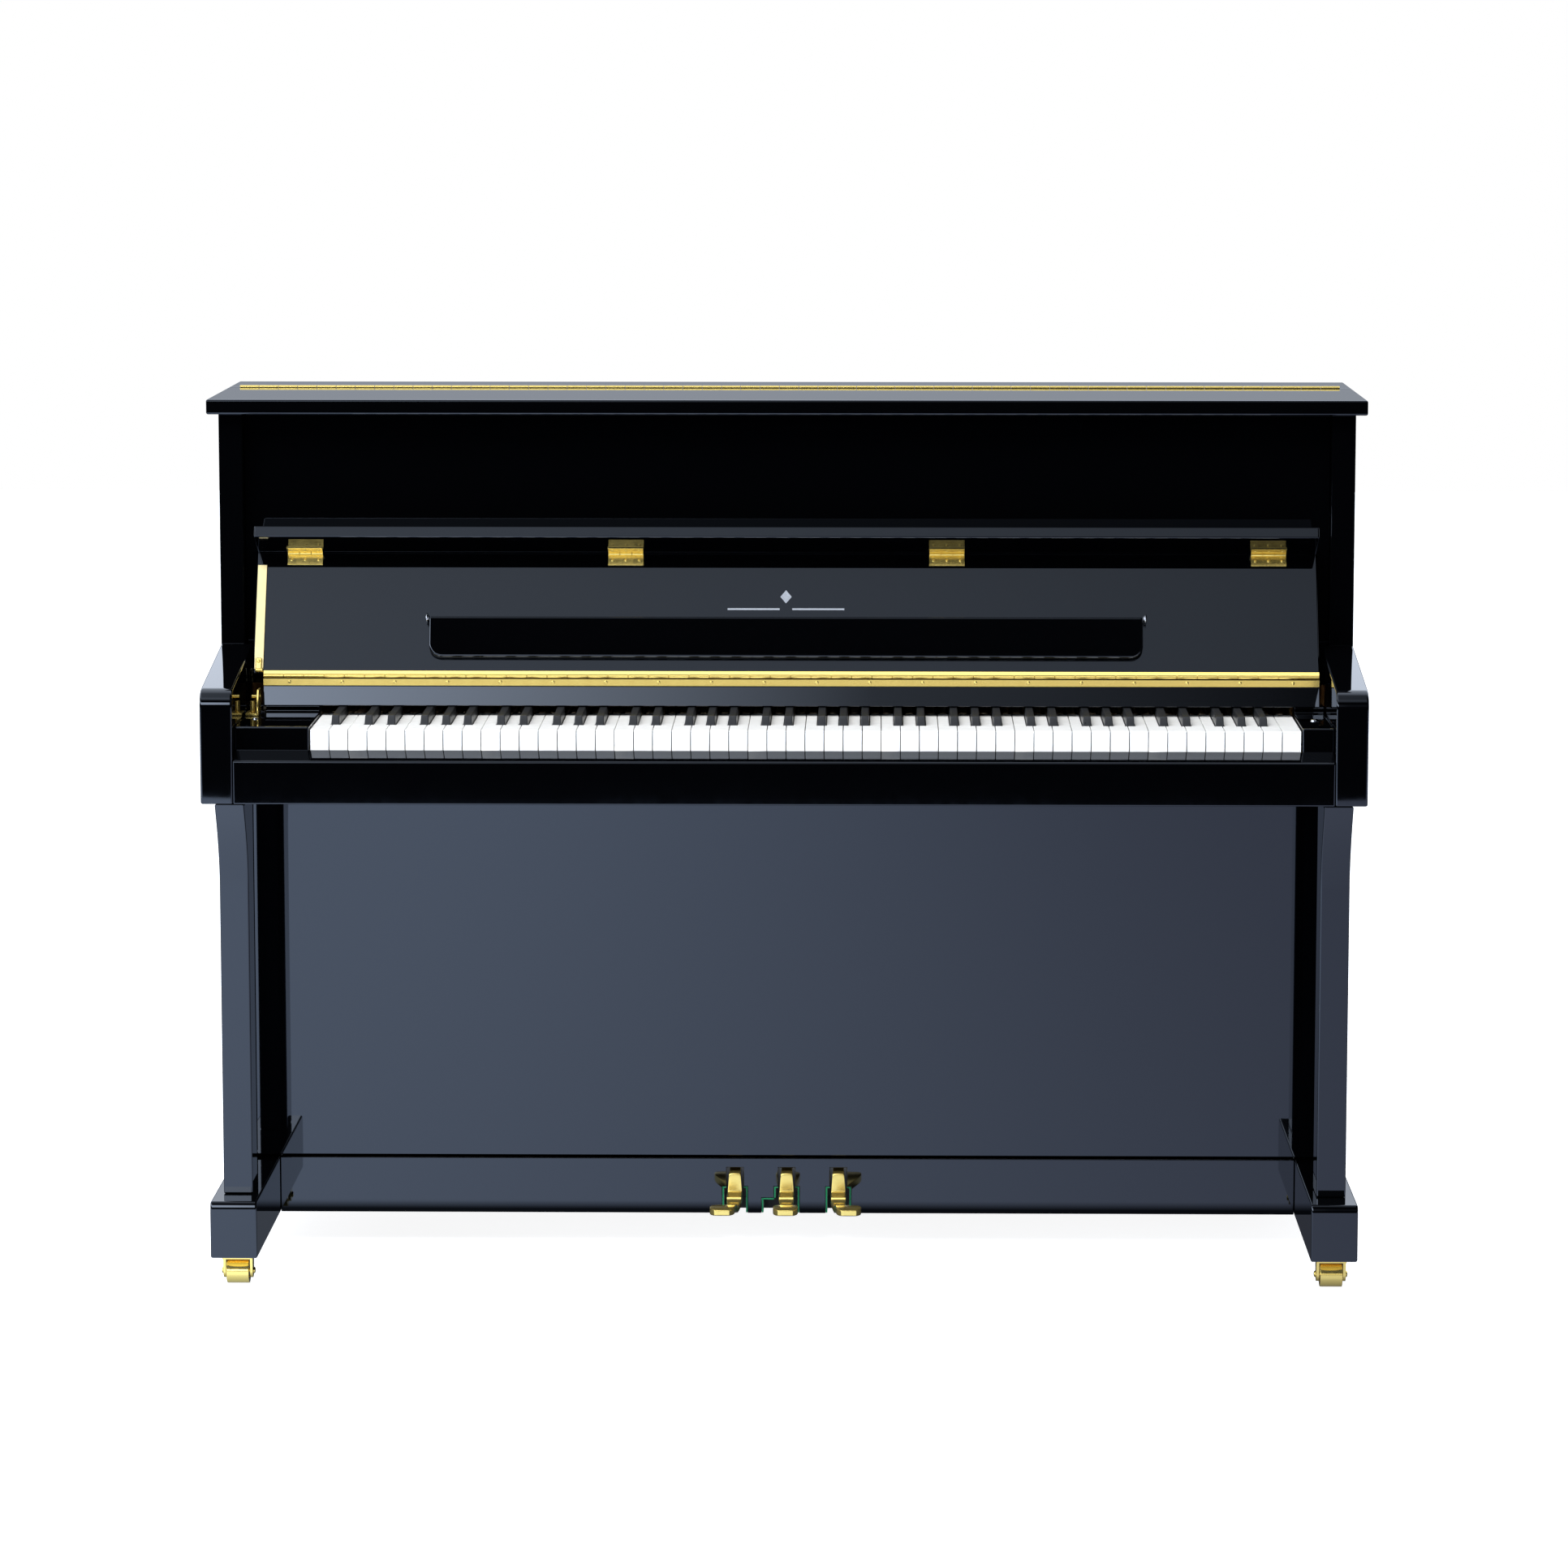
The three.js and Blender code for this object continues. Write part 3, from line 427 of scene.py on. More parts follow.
def times(tree, *values):
    return chained(tree, "MULTIPLY", values)


def plus(tree, *values):
    return chained(tree, "ADD", values)


def chained(tree, operation, values):
    result = values[0]
    for value in values[1:]:
        result = math_node(tree, operation, result, value)
    return result


def math_node(tree, operation, first, second):
    node = tree.nodes.new("ShaderNodeMath")
    node.operation = operation
    for socket, value in zip(node.inputs, (first, second)):
        if isinstance(value, (int, float)):
            socket.default_value = value
        else:
            tree.links.new(value, socket)
    return node.outputs[0]


def polish_group():
    """Hand polish: faint swirls and haze in the roughness, and a very shallow ripple."""
    tree, place, source, sink = new_group(
        "hand_polish",
        {"Gloss": 0.05, "Haze": 0.05, "Ripple Scale": 6.0},
        {"Roughness": "NodeSocketFloat", "Height": "NodeSocketFloat"},
    )
    links = tree.links
    cloud = noise_node(tree, place, 3.5, 4)
    swirl = noise_node(tree, place, 90, 2)
    blend = times(tree, cloud, swirl)
    hazy = times(tree, blend, source["Haze"])
    links.new(plus(tree, hazy, source["Gloss"]), sink["Roughness"])
    ripple = noise_node(tree, place, 6, 1, source["Ripple Scale"])
    links.new(ripple, sink["Height"])
    return tree


def grain_group():
    """Wood grain that runs along one axis: long streaks, pores and a slow change of tone."""
    tree, place, source, sink = new_group(
        "wood_grain",
        {"Light": (0.6, 0.42, 0.24, 1), "Dark": (0.4, 0.26, 0.13, 1), "Across": 60.0, "Along": 3.0,
         "Upright": 0.0},
        {"Color": "NodeSocketColor", "Height": "NodeSocketFloat"},
    )
    nodes, links = tree.nodes, tree.links
    split = nodes.new("ShaderNodeSeparateXYZ")
    links.new(place, split.inputs[0])
    stretched = nodes.new("ShaderNodeCombineXYZ")
    scales = {"Y": source["Across"]}
    for axis, plain, upright in (("X", "Along", "Across"), ("Z", "Across", "Along")):
        turn = nodes.new("ShaderNodeMix")
        for socket, label in zip((0, 2, 3), ("Upright", plain, upright)):
            links.new(source[label], turn.inputs[socket])
        scales[axis] = turn.outputs[0]
    for axis, scale in scales.items():
        stretch = times(tree, split.outputs[axis], scale)
        links.new(stretch, stretched.inputs[axis])
    streak = noise_node(tree, stretched.outputs[0], 1.0, 5)
    pores = noise_node(tree, stretched.outputs[0], 5.0, 2)
    tone = noise_node(tree, place, 1.6, 2)
    fine = times(tree, pores, 0.35)
    total = plus(tree, plus(tree, streak, fine), tone)
    spread = nodes.new("ShaderNodeMapRange")
    set_sockets(spread, {"From Min": 0.75, "From Max": 1.6})
    links.new(total, spread.inputs["Value"])
    mix = nodes.new("ShaderNodeMixRGB")
    links.new(spread.outputs[0], mix.inputs["Fac"])
    links.new(source["Light"], mix.inputs["Color1"])
    links.new(source["Dark"], mix.inputs["Color2"])
    links.new(mix.outputs[0], sink["Color"])
    links.new(total, sink["Height"])
    return tree


def fleece_group():
    """Pressed wool: short tangled fibres that break up the colour and the surface."""
    tree, place, source, sink = new_group(
        "pressed_wool",
        {"Color": (0.8, 0.78, 0.7, 1), "Fibre Scale": 900.0, "Unevenness": 0.35},
        {"Color": "NodeSocketColor", "Height": "NodeSocketFloat"},
    )
    nodes, links = tree.nodes, tree.links
    fibre = noise_node(tree, place, 900, 4, source["Fibre Scale"])
    patch = noise_node(tree, place, 40, 3)
    both = times(tree, fibre, patch)
    shade = times(tree, both, source["Unevenness"])
    dim = math_node(tree, "SUBTRACT", 1.1, times(tree, shade, 2.0))
    tinted = nodes.new("ShaderNodeMixRGB")
    tinted.blend_type = "MULTIPLY"
    tinted.inputs["Fac"].default_value = 1
    links.new(source["Color"], tinted.inputs["Color1"])
    links.new(dim, tinted.inputs["Color2"])
    links.new(tinted.outputs[0], sink["Color"])
    links.new(both, sink["Height"])
    return tree


def finished(name, group, values, fed, bump, sockets):
    """A material whose group feeds the socket called fed, and a bump of (strength, depth)."""
    material, shader = new_material(name)
    nodes, links = material.node_tree.nodes, material.node_tree.links
    set_sockets(shader, sockets)
    effect = nodes.new("ShaderNodeGroup")
    effect.node_tree = GROUPS[group]
    set_sockets(effect, values)
    links.new(effect.outputs[0], shader.inputs[fed])
    relief = nodes.new("ShaderNodeBump")
    set_sockets(relief, {"Strength": bump[0], "Distance": bump[1] * MM})
    links.new(effect.outputs["Height"], relief.inputs["Height"])
    links.new(relief.outputs["Normal"], shader.inputs["Normal"])
    return material


def polished(name, color, gloss, haze, ripple_scale, ripple_depth, sockets={}):
    """A hard polished surface: lacquer, plastic or plated metal."""
    values = {"Gloss": gloss, "Haze": haze, "Ripple Scale": ripple_scale}
    return finished(name, "polish", values, "Roughness", (1.0, ripple_depth),
                    {"Base Color": (*color, 1), **sockets})


def wooden(name, light, dark, across, along, upright, roughness):
    values = {"Light": (*light, 1), "Dark": (*dark, 1), "Across": across, "Along": along,
              "Upright": upright}
    return finished(name, "grain", values, "Base Color", (0.4, 0.15), {"Roughness": roughness})


def woolly(name, color, fibre_scale):
    return finished(name, "fleece", {"Color": (*color, 1), "Fibre Scale": fibre_scale},
                    "Base Color", (0.8, 0.4),
                    {"Roughness": 0.95, "Sheen Weight": 0.4, "Sheen Roughness": 0.5})


LACQUER_SOCKETS = {"Specular IOR Level": 0.62, "Specular Tint": (0.78, 0.87, 1.0, 1),
                   "Coat Weight": 0.25, "Coat Roughness": 0.02}
PLATED = {"Metallic": 0.9}
METAL = {"Metallic": 1.0}
# Colour, gloss, haze, ripple scale and ripple depth in millimetres, and then the shader's sockets.
POLISHED = {
    "lacquer": ("black_polyester", (0.0006, 0.0007, 0.001), 0.012, 0.05, 2.2, 0.012,
                LACQUER_SOCKETS),
    "brass": ("polished_brass", (0.92, 0.70, 0.20), 0.10, 0.25, 240, 0.015, PLATED),
    "pale_brass": ("satin_brass", (0.95, 0.80, 0.42), 0.28, 0.3, 200, 0.02, METAL),
    "white_key": ("white_acrylic", (0.93, 0.93, 0.91), 0.10, 0.2, 30, 0.01),
    "black_key": ("black_phenolic", (0.018, 0.019, 0.021), 0.24, 0.3, 160, 0.02),
    "steel": ("bright_steel", (0.72, 0.73, 0.75), 0.18, 0.3, 260, 0.01, METAL),
    "copper": ("wound_copper", (0.80, 0.38, 0.18), 0.25, 0.3, 900, 0.05, METAL),
    "iron": ("bronzed_cast_iron", (0.52, 0.34, 0.10), 0.32, 0.4, 420, 0.25, {"Metallic": 0.7}),
    "nickel": ("nickel_silver", (0.9, 0.91, 0.93), 0.2, 0.2, 300, 0.01, METAL),
}
# Light and dark colour, grain across and along, 1 where it runs upright, and roughness.
WOODEN = {
    "beech": ("beech", (0.62, 0.43, 0.25), (0.47, 0.30, 0.16), 120, 6, 0, 0.55),
    # Partly painted shade: near-black pine, so the inside of the case behind the pedals reads as shaded.
    # Real bottom boards are also often painted black.
    "black_pine": ("black_pine", (0.022, 0.02, 0.019), (0.010, 0.009, 0.009), 55, 2.2, 0, 0.6),
    "pine": ("pine", (0.66, 0.47, 0.26), (0.45, 0.28, 0.13), 55, 2.2, 1, 0.6),
    "spruce": ("spruce", (0.74, 0.54, 0.30), (0.55, 0.36, 0.17), 90, 2.5, 0, 0.35),
    "spruce_key": ("key_spruce", (0.76, 0.6, 0.4), (0.62, 0.46, 0.28), 140, 8, 0, 0.5),
    "maple": ("maple", (0.72, 0.56, 0.38), (0.60, 0.43, 0.26), 150, 8, 1, 0.4),
}
WOOLLY = {
    "wool": ("white_wool", (0.82, 0.80, 0.73), 900),
    "green_felt": ("green_felt", (0.012, 0.28, 0.11), 1200),
    "red_felt": ("red_felt", (0.42, 0.02, 0.02), 1200),
}


def build_materials():
    made = {}
    for make, table in ((polished, POLISHED), (wooden, WOODEN), (woolly, WOOLLY)):
        for finish, values in table.items():
            made[finish] = make(*values)
    return made


GROUPS = {"polish": polish_group(), "grain": grain_group(), "fleece": fleece_group()}
FINISH = build_materials()
place_camera()
build_stage()
build_world()
build_lights()


# ---------------------------------------------------------------- lacquered case
# How far each lacquered piece's edges are rounded.
EDGE_RADIUS = {
    "side_left": 1.5, "side_right": 1.5, "arm_left": 2.5, "arm_right": 2.5, "leg_left": 2.0,
    "leg_right": 2.0, "toe_block_left": 2.5, "toe_block_right": 2.5, "key_bed": 1.0, "key_slip": 1.8,
    "key_block_left": 2.0, "key_block_right": 2.0, "name_board": 1.0, "upper_panel": 1.0,
    "lower_panel": 1.2, "bottom_rail": 0.8, "top_lid_rear": 2.5, "top_lid_front": 2.5,
    "fallboard": 1.2, "fallboard_lip": 2.0, "music_shelf": 3.0,
}
# What is seen as the frame has it, and its finish.
PLAIN_NODES = {
    # The bottom board's near-black is partly painted shade for the inside of the case.
    "bottom_board": "black_pine", "back_frame": "pine", "pin_block": "beech",
    "action_frame": "maple", "key_frame": "beech", "soundboard": "spruce", "iron_plate": "iron",
    "muffler_rail": "wool",
}


def body_of_node(node):
    for body, members in frame["record"]["behaviour"]["bodies"].items():
        if node in members:
            return body
    return None


def build_case():
    for node, radius in EDGE_RADIUS.items():
        piece = copy_of_node(node, node + "_lacquered")
        round_edges(piece, radius * MM)
        fit_out(piece, body_of_node(node), "lacquer", [node])
    for node, finish in PLAIN_NODES.items():
        frame["nodes"][node].data.materials.clear()
        frame["nodes"][node].data.materials.append(FINISH[finish])


# ---------------------------------------------------------------- keyboard
NATURALS = 52
FIRST_DEGREE = 5  # the lowest key is the sixth of its octave, counted from C
KEY_GAP = 1 * MM
HEAD_LENGTH = 50 * MM
COVER = 2.4 * MM
COVER_LIP = 1.5 * MM
SKIRT = 4.5 * MM  # how far a front reaches below its key
SHARP_SLOT = 6.3 * MM
# Each sharp's middle in naturals from its octave's start, by the natural before it.
SHARP_AFTER = {0: 1.5 * 3 / 5, 1: 3.5 * 3 / 5,
               3: 3 + 1.5 * 4 / 7, 4: 3 + 3.5 * 4 / 7, 5: 3 + 5.5 * 4 / 7}
NATURAL_GROUP_STARTS = [0, 9, 16, 23, 30, 37, 44, 52]
SHARP_GROUP_STARTS = [0, 16, 30, 44, 52]

first_keys, last_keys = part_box("natural_keys_1"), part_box("natural_keys_7")
KEY_LEFT = first_keys[0].x - KEY_GAP / 2
PITCH = (last_keys[1].x + KEY_GAP / 2 - KEY_LEFT) / NATURALS
KEY_FRONT = first_keys[0].y
KEY_BACK = first_keys[1].y
KEY_TOP = first_keys[1].z - 4 * MM
KEY_BOTTOM = first_keys[0].z
SHARP_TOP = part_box("sharp_keys_1")[1].z
NAME_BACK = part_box("name_board")[1].y
NAME_TOP_FRONT = NAME_BACK - 16 * MM
BALANCE_Y = -0.048
STICK_DROP = 8 * MM  # the sticks' tops below the covers'


def group_of(index, starts):
    return max(i for i, start in enumerate(starts[:-1]) if index >= start) + 1


def sharp_centre(natural):
    degree = (natural + FIRST_DEGREE) % 7
    if natural < 0 or natural == NATURALS - 1 or degree not in SHARP_AFTER:
        return None
    return KEY_LEFT + (natural - degree + SHARP_AFTER[degree]) * PITCH


def tail_of(natural):
    """A natural's two sides at its head, and then between the sharps beside it."""
    x0 = KEY_LEFT + natural * PITCH + KEY_GAP / 2
    x1 = x0 + PITCH - KEY_GAP
    lower, upper = sharp_centre(natural - 1), sharp_centre(natural)
    tail0 = x0 if lower is None else max(x0, lower + SHARP_SLOT)
    tail1 = x1 if upper is None else min(x1, upper - SHARP_SLOT)
    return x0, x1, tail0, tail1


def natural_key(name, x0, x1, tail0, tail1, cover_end):
    """A head and a narrower tail, with a cover that stands a little proud of the key's front."""
    neck = KEY_FRONT + HEAD_LENGTH
    key = block(name, (x0, KEY_FRONT + COVER_LIP, KEY_BOTTOM), (x1, neck, KEY_TOP - COVER))
    pick_faces(key, lambda face: face.normal.y > 0.9)
    extrude()
    share = (tail1 - tail0) / (x1 - x0)
    middle = ((tail0 + tail1) / 2 - (x0 + x1) / 2, 0, 0)
    bpy.ops.transform.resize(value=(share, 1, 1), center_override=((x0 + x1) / 2, neck, KEY_TOP))
    bpy.ops.transform.translate(value=middle)
    extrude((0, cover_end - neck, 0))
    pick_faces(key, lambda face: face.normal.z > 0.9)
    extrude((0, 0, COVER))
    pick_faces(key, lambda face: face.normal.y < -0.9 and face.center.z > KEY_TOP - COVER)
    extrude((0, -COVER_LIP, 0))
    leave_edit()
    skirt = block("skirt", (x0, KEY_FRONT, KEY_BOTTOM - SKIRT),
                  (x1, KEY_FRONT + 3 * MM, KEY_TOP - COVER))
    return round_edges(join([key, skirt], name), 0.5 * MM, 2, 50)


def sharp_key(name, cover_end):
    """A sharp at x = 0: sides that lean in, a sloping front and softened edges."""
    half = SHARP_SLOT - KEY_GAP
    front = KEY_FRONT + HEAD_LENGTH + KEY_GAP
    key = block(name, (-half, front, KEY_TOP - STICK_DROP), (half, cover_end, KEY_TOP))
    pick_faces(key, lambda face: face.normal.z > 0.9)
    extrude((0, 0, SHARP_TOP - KEY_TOP))
    bpy.ops.transform.resize(value=(0.86, 1, 1), center_override=(0, front, SHARP_TOP))
    leave_edit()
    for corner in key.data.vertices:
        if corner.co.z > SHARP_TOP - MM and corner.co.y < front + MM:
            corner.co.y += 5 * MM
    return round_edges(key, 1.1 * MM, 3, 25)


def build_keys():
    cover_end = NAME_BACK + 8 * MM
    patterns = {}
    for natural in range(NATURALS):
        x0, x1, tail0, tail1 = tail_of(natural)
        shape = (round((tail0 - x0) / MM, 1), round((x1 - tail1) / MM, 1))
        if shape not in patterns:
            patterns[shape] = natural_key(
                "natural_pattern", 0, x1 - x0, tail0 - x0, tail1 - x0, cover_end)
        group = group_of(natural, NATURAL_GROUP_STARTS)
        key = copied(patterns[shape], f"natural_{natural + 1:02d}", (x0, 0, 0))
        fit_out(key, f"naturals_{group}", "white_key", [f"natural_keys_{group}"])
    for pattern in patterns.values():
        bpy.data.objects.remove(pattern)
    pattern = sharp_key("sharp_pattern", cover_end)
    count = 0
    for natural in range(NATURALS):
        centre = sharp_centre(natural)
        if centre is None:
            continue
        count += 1
        group = group_of(natural, SHARP_GROUP_STARTS)
        key = copied(pattern, f"sharp_{count:02d}", (centre, 0, 0))
        fit_out(key, f"sharps_{group}", "black_key", [f"sharp_keys_{group}"])
    bpy.data.objects.remove(pattern)


def key_stick(name, half, start):
    """The wooden part behind the covers, with its balance button and the screw that lifts."""
    top = KEY_TOP - STICK_DROP
    stick = round_edges(block(name, (-half, start, KEY_BOTTOM), (half, KEY_BACK, top)), 0.6 * MM, 1)
    button = rod("button", (0, BALANCE_Y, top), (0, BALANCE_Y, top + 4 * MM), 5 * MM, 10, 4 * MM)
    lift_y = KEY_BACK - 22 * MM
    lift = rod("lift", (0, lift_y, top), (0, lift_y, top + 14 * MM), 3.5 * MM, 8, 2.6 * MM)
    return join([stick, button, lift], name)


def build_sticks():
    """One row of sticks for each group of keys, under and behind their covers."""
    rows = {}
    for natural in range(NATURALS):
        _, _, tail0, tail1 = tail_of(natural)
        group = f"naturals_{group_of(natural, NATURAL_GROUP_STARTS)}"
        rows.setdefault(group, []).append((tail0 + tail1) / 2)
        sharp = sharp_centre(natural)
        if sharp is not None:
            group = f"sharps_{group_of(natural, SHARP_GROUP_STARTS)}"
            rows.setdefault(group, []).append(sharp)
    pattern = key_stick("stick_pattern", 5 * MM, NAME_BACK + 8.3 * MM)
    for group, centres in rows.items():
        row = join([copied(pattern, "stick", (x, 0, 0)) for x in centres], group + "_sticks")
        fit_out(row, group, "spruce_key", [group.replace("s_", "_keys_")])
    bpy.data.objects.remove(pattern)


# ---------------------------------------------------------------- hinges
FALL_AXIS = Vector((0, -0.1195, 0.754))
FALL_LEAN = math.radians(-25.5)
LEAN = shift(FALL_AXIS) @ Matrix.Rotation(FALL_LEAN, 4, "X")
LIP = LEAN @ shift((0, -2.3 * MM, 163.7 * MM))
FALL_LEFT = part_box("fallboard")[0].x
KNUCKLE = 25.4 * MM
SCREW_STEP = 65.8 * MM
LID_AXIS = Vector((0, 0.169, 1.101))
LID_KNUCKLE_RADIUS = 2.1 * MM
# The lip's hinges: their outer screws from the leaves' ends, and how far the leaves reach.
LEAF_END = 5.4 * MM
FIXED_LEAF = 15 * MM
MOVING_LEAF = 17 * MM
# In the leaning fallboard's own Y and Z, from its hinge.
SHELF_PIN = (-9 * MM, 75 * MM)


def knuckle(name, length, radius, sides=18):
    """A rolled tube along X from x = 0, with a small step at its ends."""
    play = 0.25 * MM
    tube = rod(name, (play, 0, 0), (length - play, 0, 0), radius, sides)
    return round_edges(tube, 0.3 * MM, 1, 60)


def screw(name, place, radius=2.6 * MM, rise=0.7 * MM, towards=(0, -1, 0)):
    """A domed screw head with a cross slot, standing on its face."""
    deselect()
    bpy.ops.mesh.primitive_uv_sphere_add(segments=14, ring_count=8, radius=radius)
    head = settle(added(name))
    modify_cut(head, (0, 0, 0.05 * MM), (0, 0, -1))
    moved(head, Matrix.Diagonal((1, 1, rise / radius, 1)))
    for side in ((1, 0.18), (0.18, 1)):
        slot = block("slot", (-radius * 0.55 * side[0], -radius * 0.55 * side[1], rise * 0.75),
                     (radius * 0.55 * side[0], radius * 0.55 * side[1], rise * 1.5))
        subtract(head, slot)
    turn = Vector(towards).to_track_quat("Z", "Y").to_matrix().to_4x4()
    moved(head, shift(place) @ turn)
    return smooth(head)


def modify_cut(obj, point, away):
    """Cuts off what lies on the far side of a plane, and closes the cut."""
    activate(obj)
    bpy.ops.object.mode_set(mode="EDIT")
    bpy.ops.mesh.select_all(action="SELECT")
    bpy.ops.mesh.bisect(plane_co=point, plane_no=away, use_fill=True, clear_outer=True)
    leave_edit()
    return obj


def subtract(obj, tool):
    modify(obj, "BOOLEAN", operation="DIFFERENCE", object=tool, solver="EXACT")
    bpy.data.objects.remove(tool)
    return obj


def hinge_knuckles(left, right, axis, radius, name):
    """The knuckles of a continuous hinge, in two sets that take turns."""
    count = round((right - left) / KNUCKLE)
    length = (right - left) / count
    pattern = knuckle("knuckle", length, radius)
    sets = []
    for first in (0, 1):
        places = [shift((left + i * length, axis.y, axis.z)) for i in range(first, count, 2)]
        sets.append(join([placed(pattern, name, matrix) for matrix in places], f"{name}_{first}"))
    bpy.data.objects.remove(pattern)
    return sets


def screw_row(left, right, point, name, radius):
    count = round((right - left) / SCREW_STEP)
    gap = (right - left) / count
    pattern = screw("screw", point, radius)
    return row_of(pattern, [(left + (i + 0.5) * gap, 0, 0) for i in range(count)], name)


def build_fallboard_hinge():
    """The long hinge: a leaf with screws on the name board, and tongues under the fallboard."""
    low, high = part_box("fallboard_hinge")
    radius = high.z - FALL_AXIS.z
    fixed, moving = hinge_knuckles(low.x, high.x, FALL_AXIS, radius, "fallboard_knuckles")
    face = NAME_TOP_FRONT - 1.5 * MM
    leaf = block("leaf", (low.x, face, low.z),
                 (high.x, NAME_TOP_FRONT - 0.3 * MM, FALL_AXIS.z - 3.4 * MM))
    round_edges(leaf, 0.3 * MM, 1)
    screws = screw_row(low.x, high.x, (0, face, low.z + 5 * MM), "leaf_screws", 2.2 * MM)
    whole = join([fixed, leaf, screws], "fallboard_hinge_fixed")
    fit_brass(whole, "root", "fallboard_hinge")
    tongue = block("tongue", (low.x, -1.3 * MM, 1.2 * MM), (high.x, -0.15 * MM, 6.8 * MM))
    round_edges(tongue, 0.3 * MM, 1)
    moved(tongue, LEAN)
    whole = join([moving, tongue], "fallboard_hinge_moving")
    fit_brass(whole, "fallboard")


def build_lid_hinge():
    low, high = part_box("top_lid_hinge")
    fixed, moving = hinge_knuckles(low.x, high.x, LID_AXIS, LID_KNUCKLE_RADIUS, "lid_knuckles")
    fit_brass(fixed, "root", "top_lid_hinge")
    fit_brass(moving, "lid_flap")


def build_lip_hinges():
    """Four butt hinges in the inner corner: three knuckles, two leaves and six screws each."""
    radius, face, thin = 2 * MM, 2.0 * MM, 1.2 * MM
    for number in range(1, 5):
        node = f"lip_hinge_{number}"
        x0, x1 = (corner.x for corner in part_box(node))
        third = (x1 - x0) / 3
        heads_at = [(x, 0, 0) for x in (x0 + LEAF_END, (x0 + x1) / 2, x1 - LEAF_END)]
        middle = moved(knuckle("middle", third, radius), shift((x0 + third, 0, 0)))
        ends = [moved(knuckle("end", third, radius), shift((x, 0, 0)))
                for x in (x0, x0 + 2 * third)]
        leaf = block("leaf", (x0, face - thin, -FIXED_LEAF), (x1, face, -1.1 * MM))
        round_edges(leaf, 0.35 * MM, 2)
        heads = row_of(screw("head", (0, face - thin, -8.2 * MM), 1.8 * MM), heads_at, "heads")
        fixed = moved(join(ends + [leaf, heads], node + "_fixed"), LIP)
        fit_brass(fixed, "fallboard", node)
        leaf = block("leaf", (x0, -MOVING_LEAF, face - thin), (x1, -1.1 * MM, face))
        round_edges(leaf, 0.35 * MM, 2)
        head = screw("head", (0, -9 * MM, face - thin), 1.8 * MM, towards=(0, 0, -1))
        heads = row_of(head, heads_at, "heads")
        moving = moved(join([middle, leaf, heads], node + "_moving"), LIP)
        fit_brass(moving, "fallboard_lip")


def build_shelf_pivots():
    """A short steel pin at each top corner of the music shelf, held in a small eye."""
    low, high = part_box("music_shelf")
    thick = 1.3 * MM
    for side, end, inward in (("left", low.x, 1), ("right", high.x, -1)):
        x = end - inward * 3.2 * MM
        pin = rod("pin", (end - inward * 5 * MM, *SHELF_PIN),
                  (end - inward * 0.5 * MM, *SHELF_PIN), 3.4 * MM, 20)
        round_edges(pin, 1.1 * MM, 3)
        deselect()
        bpy.ops.mesh.primitive_torus_add(
            location=(x, *SHELF_PIN), rotation=(0, math.pi / 2, 0), major_radius=4.6 * MM,
            minor_radius=thick, major_segments=24, minor_segments=8,
        )
        eye = smooth(settle(added("eye")), 60)
        foot = block("foot", (x - thick, -5.5 * MM, 72 * MM), (x + thick, -0.1 * MM, 78 * MM))
        round_edges(foot, 0.5 * MM, 2)
        whole = moved(join([eye, foot, pin], f"shelf_eye_{side}"), LEAN)
        fit_out(whole, "fallboard", "steel")


def build_slow_close():
    """The bar down the fallboard's left end, its foot, and the damper that catches it."""
    end = Vector((FALL_LEFT, 0, 0))
    bar = block("slow_close_bar", end + mm(1, -2.6, 8), end + mm(13, -0.2, 148.5))
    round_edges(bar, 0.7 * MM, 3)
    fit_out(moved(bar, LEAN), "fallboard", "pale_brass")
    foot = round_edges(block("foot", end + mm(3, -7, 4), end + mm(11, -2.4, 22)), 1.4 * MM, 3)
    head = screw("head", end + mm(7, -7, 17), 2.4 * MM)
    stub = rod("stub", end + mm(3, -4.5, 6), end + mm(12.4, -4.5, 6), 3 * MM, 20)
    round_edges(stub, 0.6 * MM, 2)
    fit_brass(moved(join([foot, head, stub], "slow_close_arm"), LEAN), "fallboard")
    low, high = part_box("slow_close_bracket")
    corner = Vector((high.x, low.y, low.z))
    base = block("base", low, corner + mm(0, 0, 3) + Vector((0, high.y - low.y, 0)))
    round_edges(base, 0.6 * MM, 2)
    cheek = block("cheek", corner - mm(3, 0, 0), high)
    modify_cut(cheek, corner + mm(0, 0, 14), (0, -0.8, 0.45))
    round_edges(cheek, 0.8 * MM, 3)
    cylinder = rod("damper_body", corner + mm(-9, 17, 3), corner + mm(-9, 17, 17), 3.6 * MM, 20,
                   3.2 * MM)
    round_edges(cylinder, 0.7 * MM, 2)
    pin = rod("pin", corner + mm(-11, 22, 22), corner + mm(0.8, 22, 22), 2.2 * MM, 16)
    round_edges(pin, 0.5 * MM, 2)
    foot_screw = screw("foot_screw", low + mm(5, 6, 3), towards=(0, 0, 1))
    whole = join([base, cheek, cylinder, pin, foot_screw], "slow_close_damper")
    fit_brass(whole, "root", "slow_close_bracket")


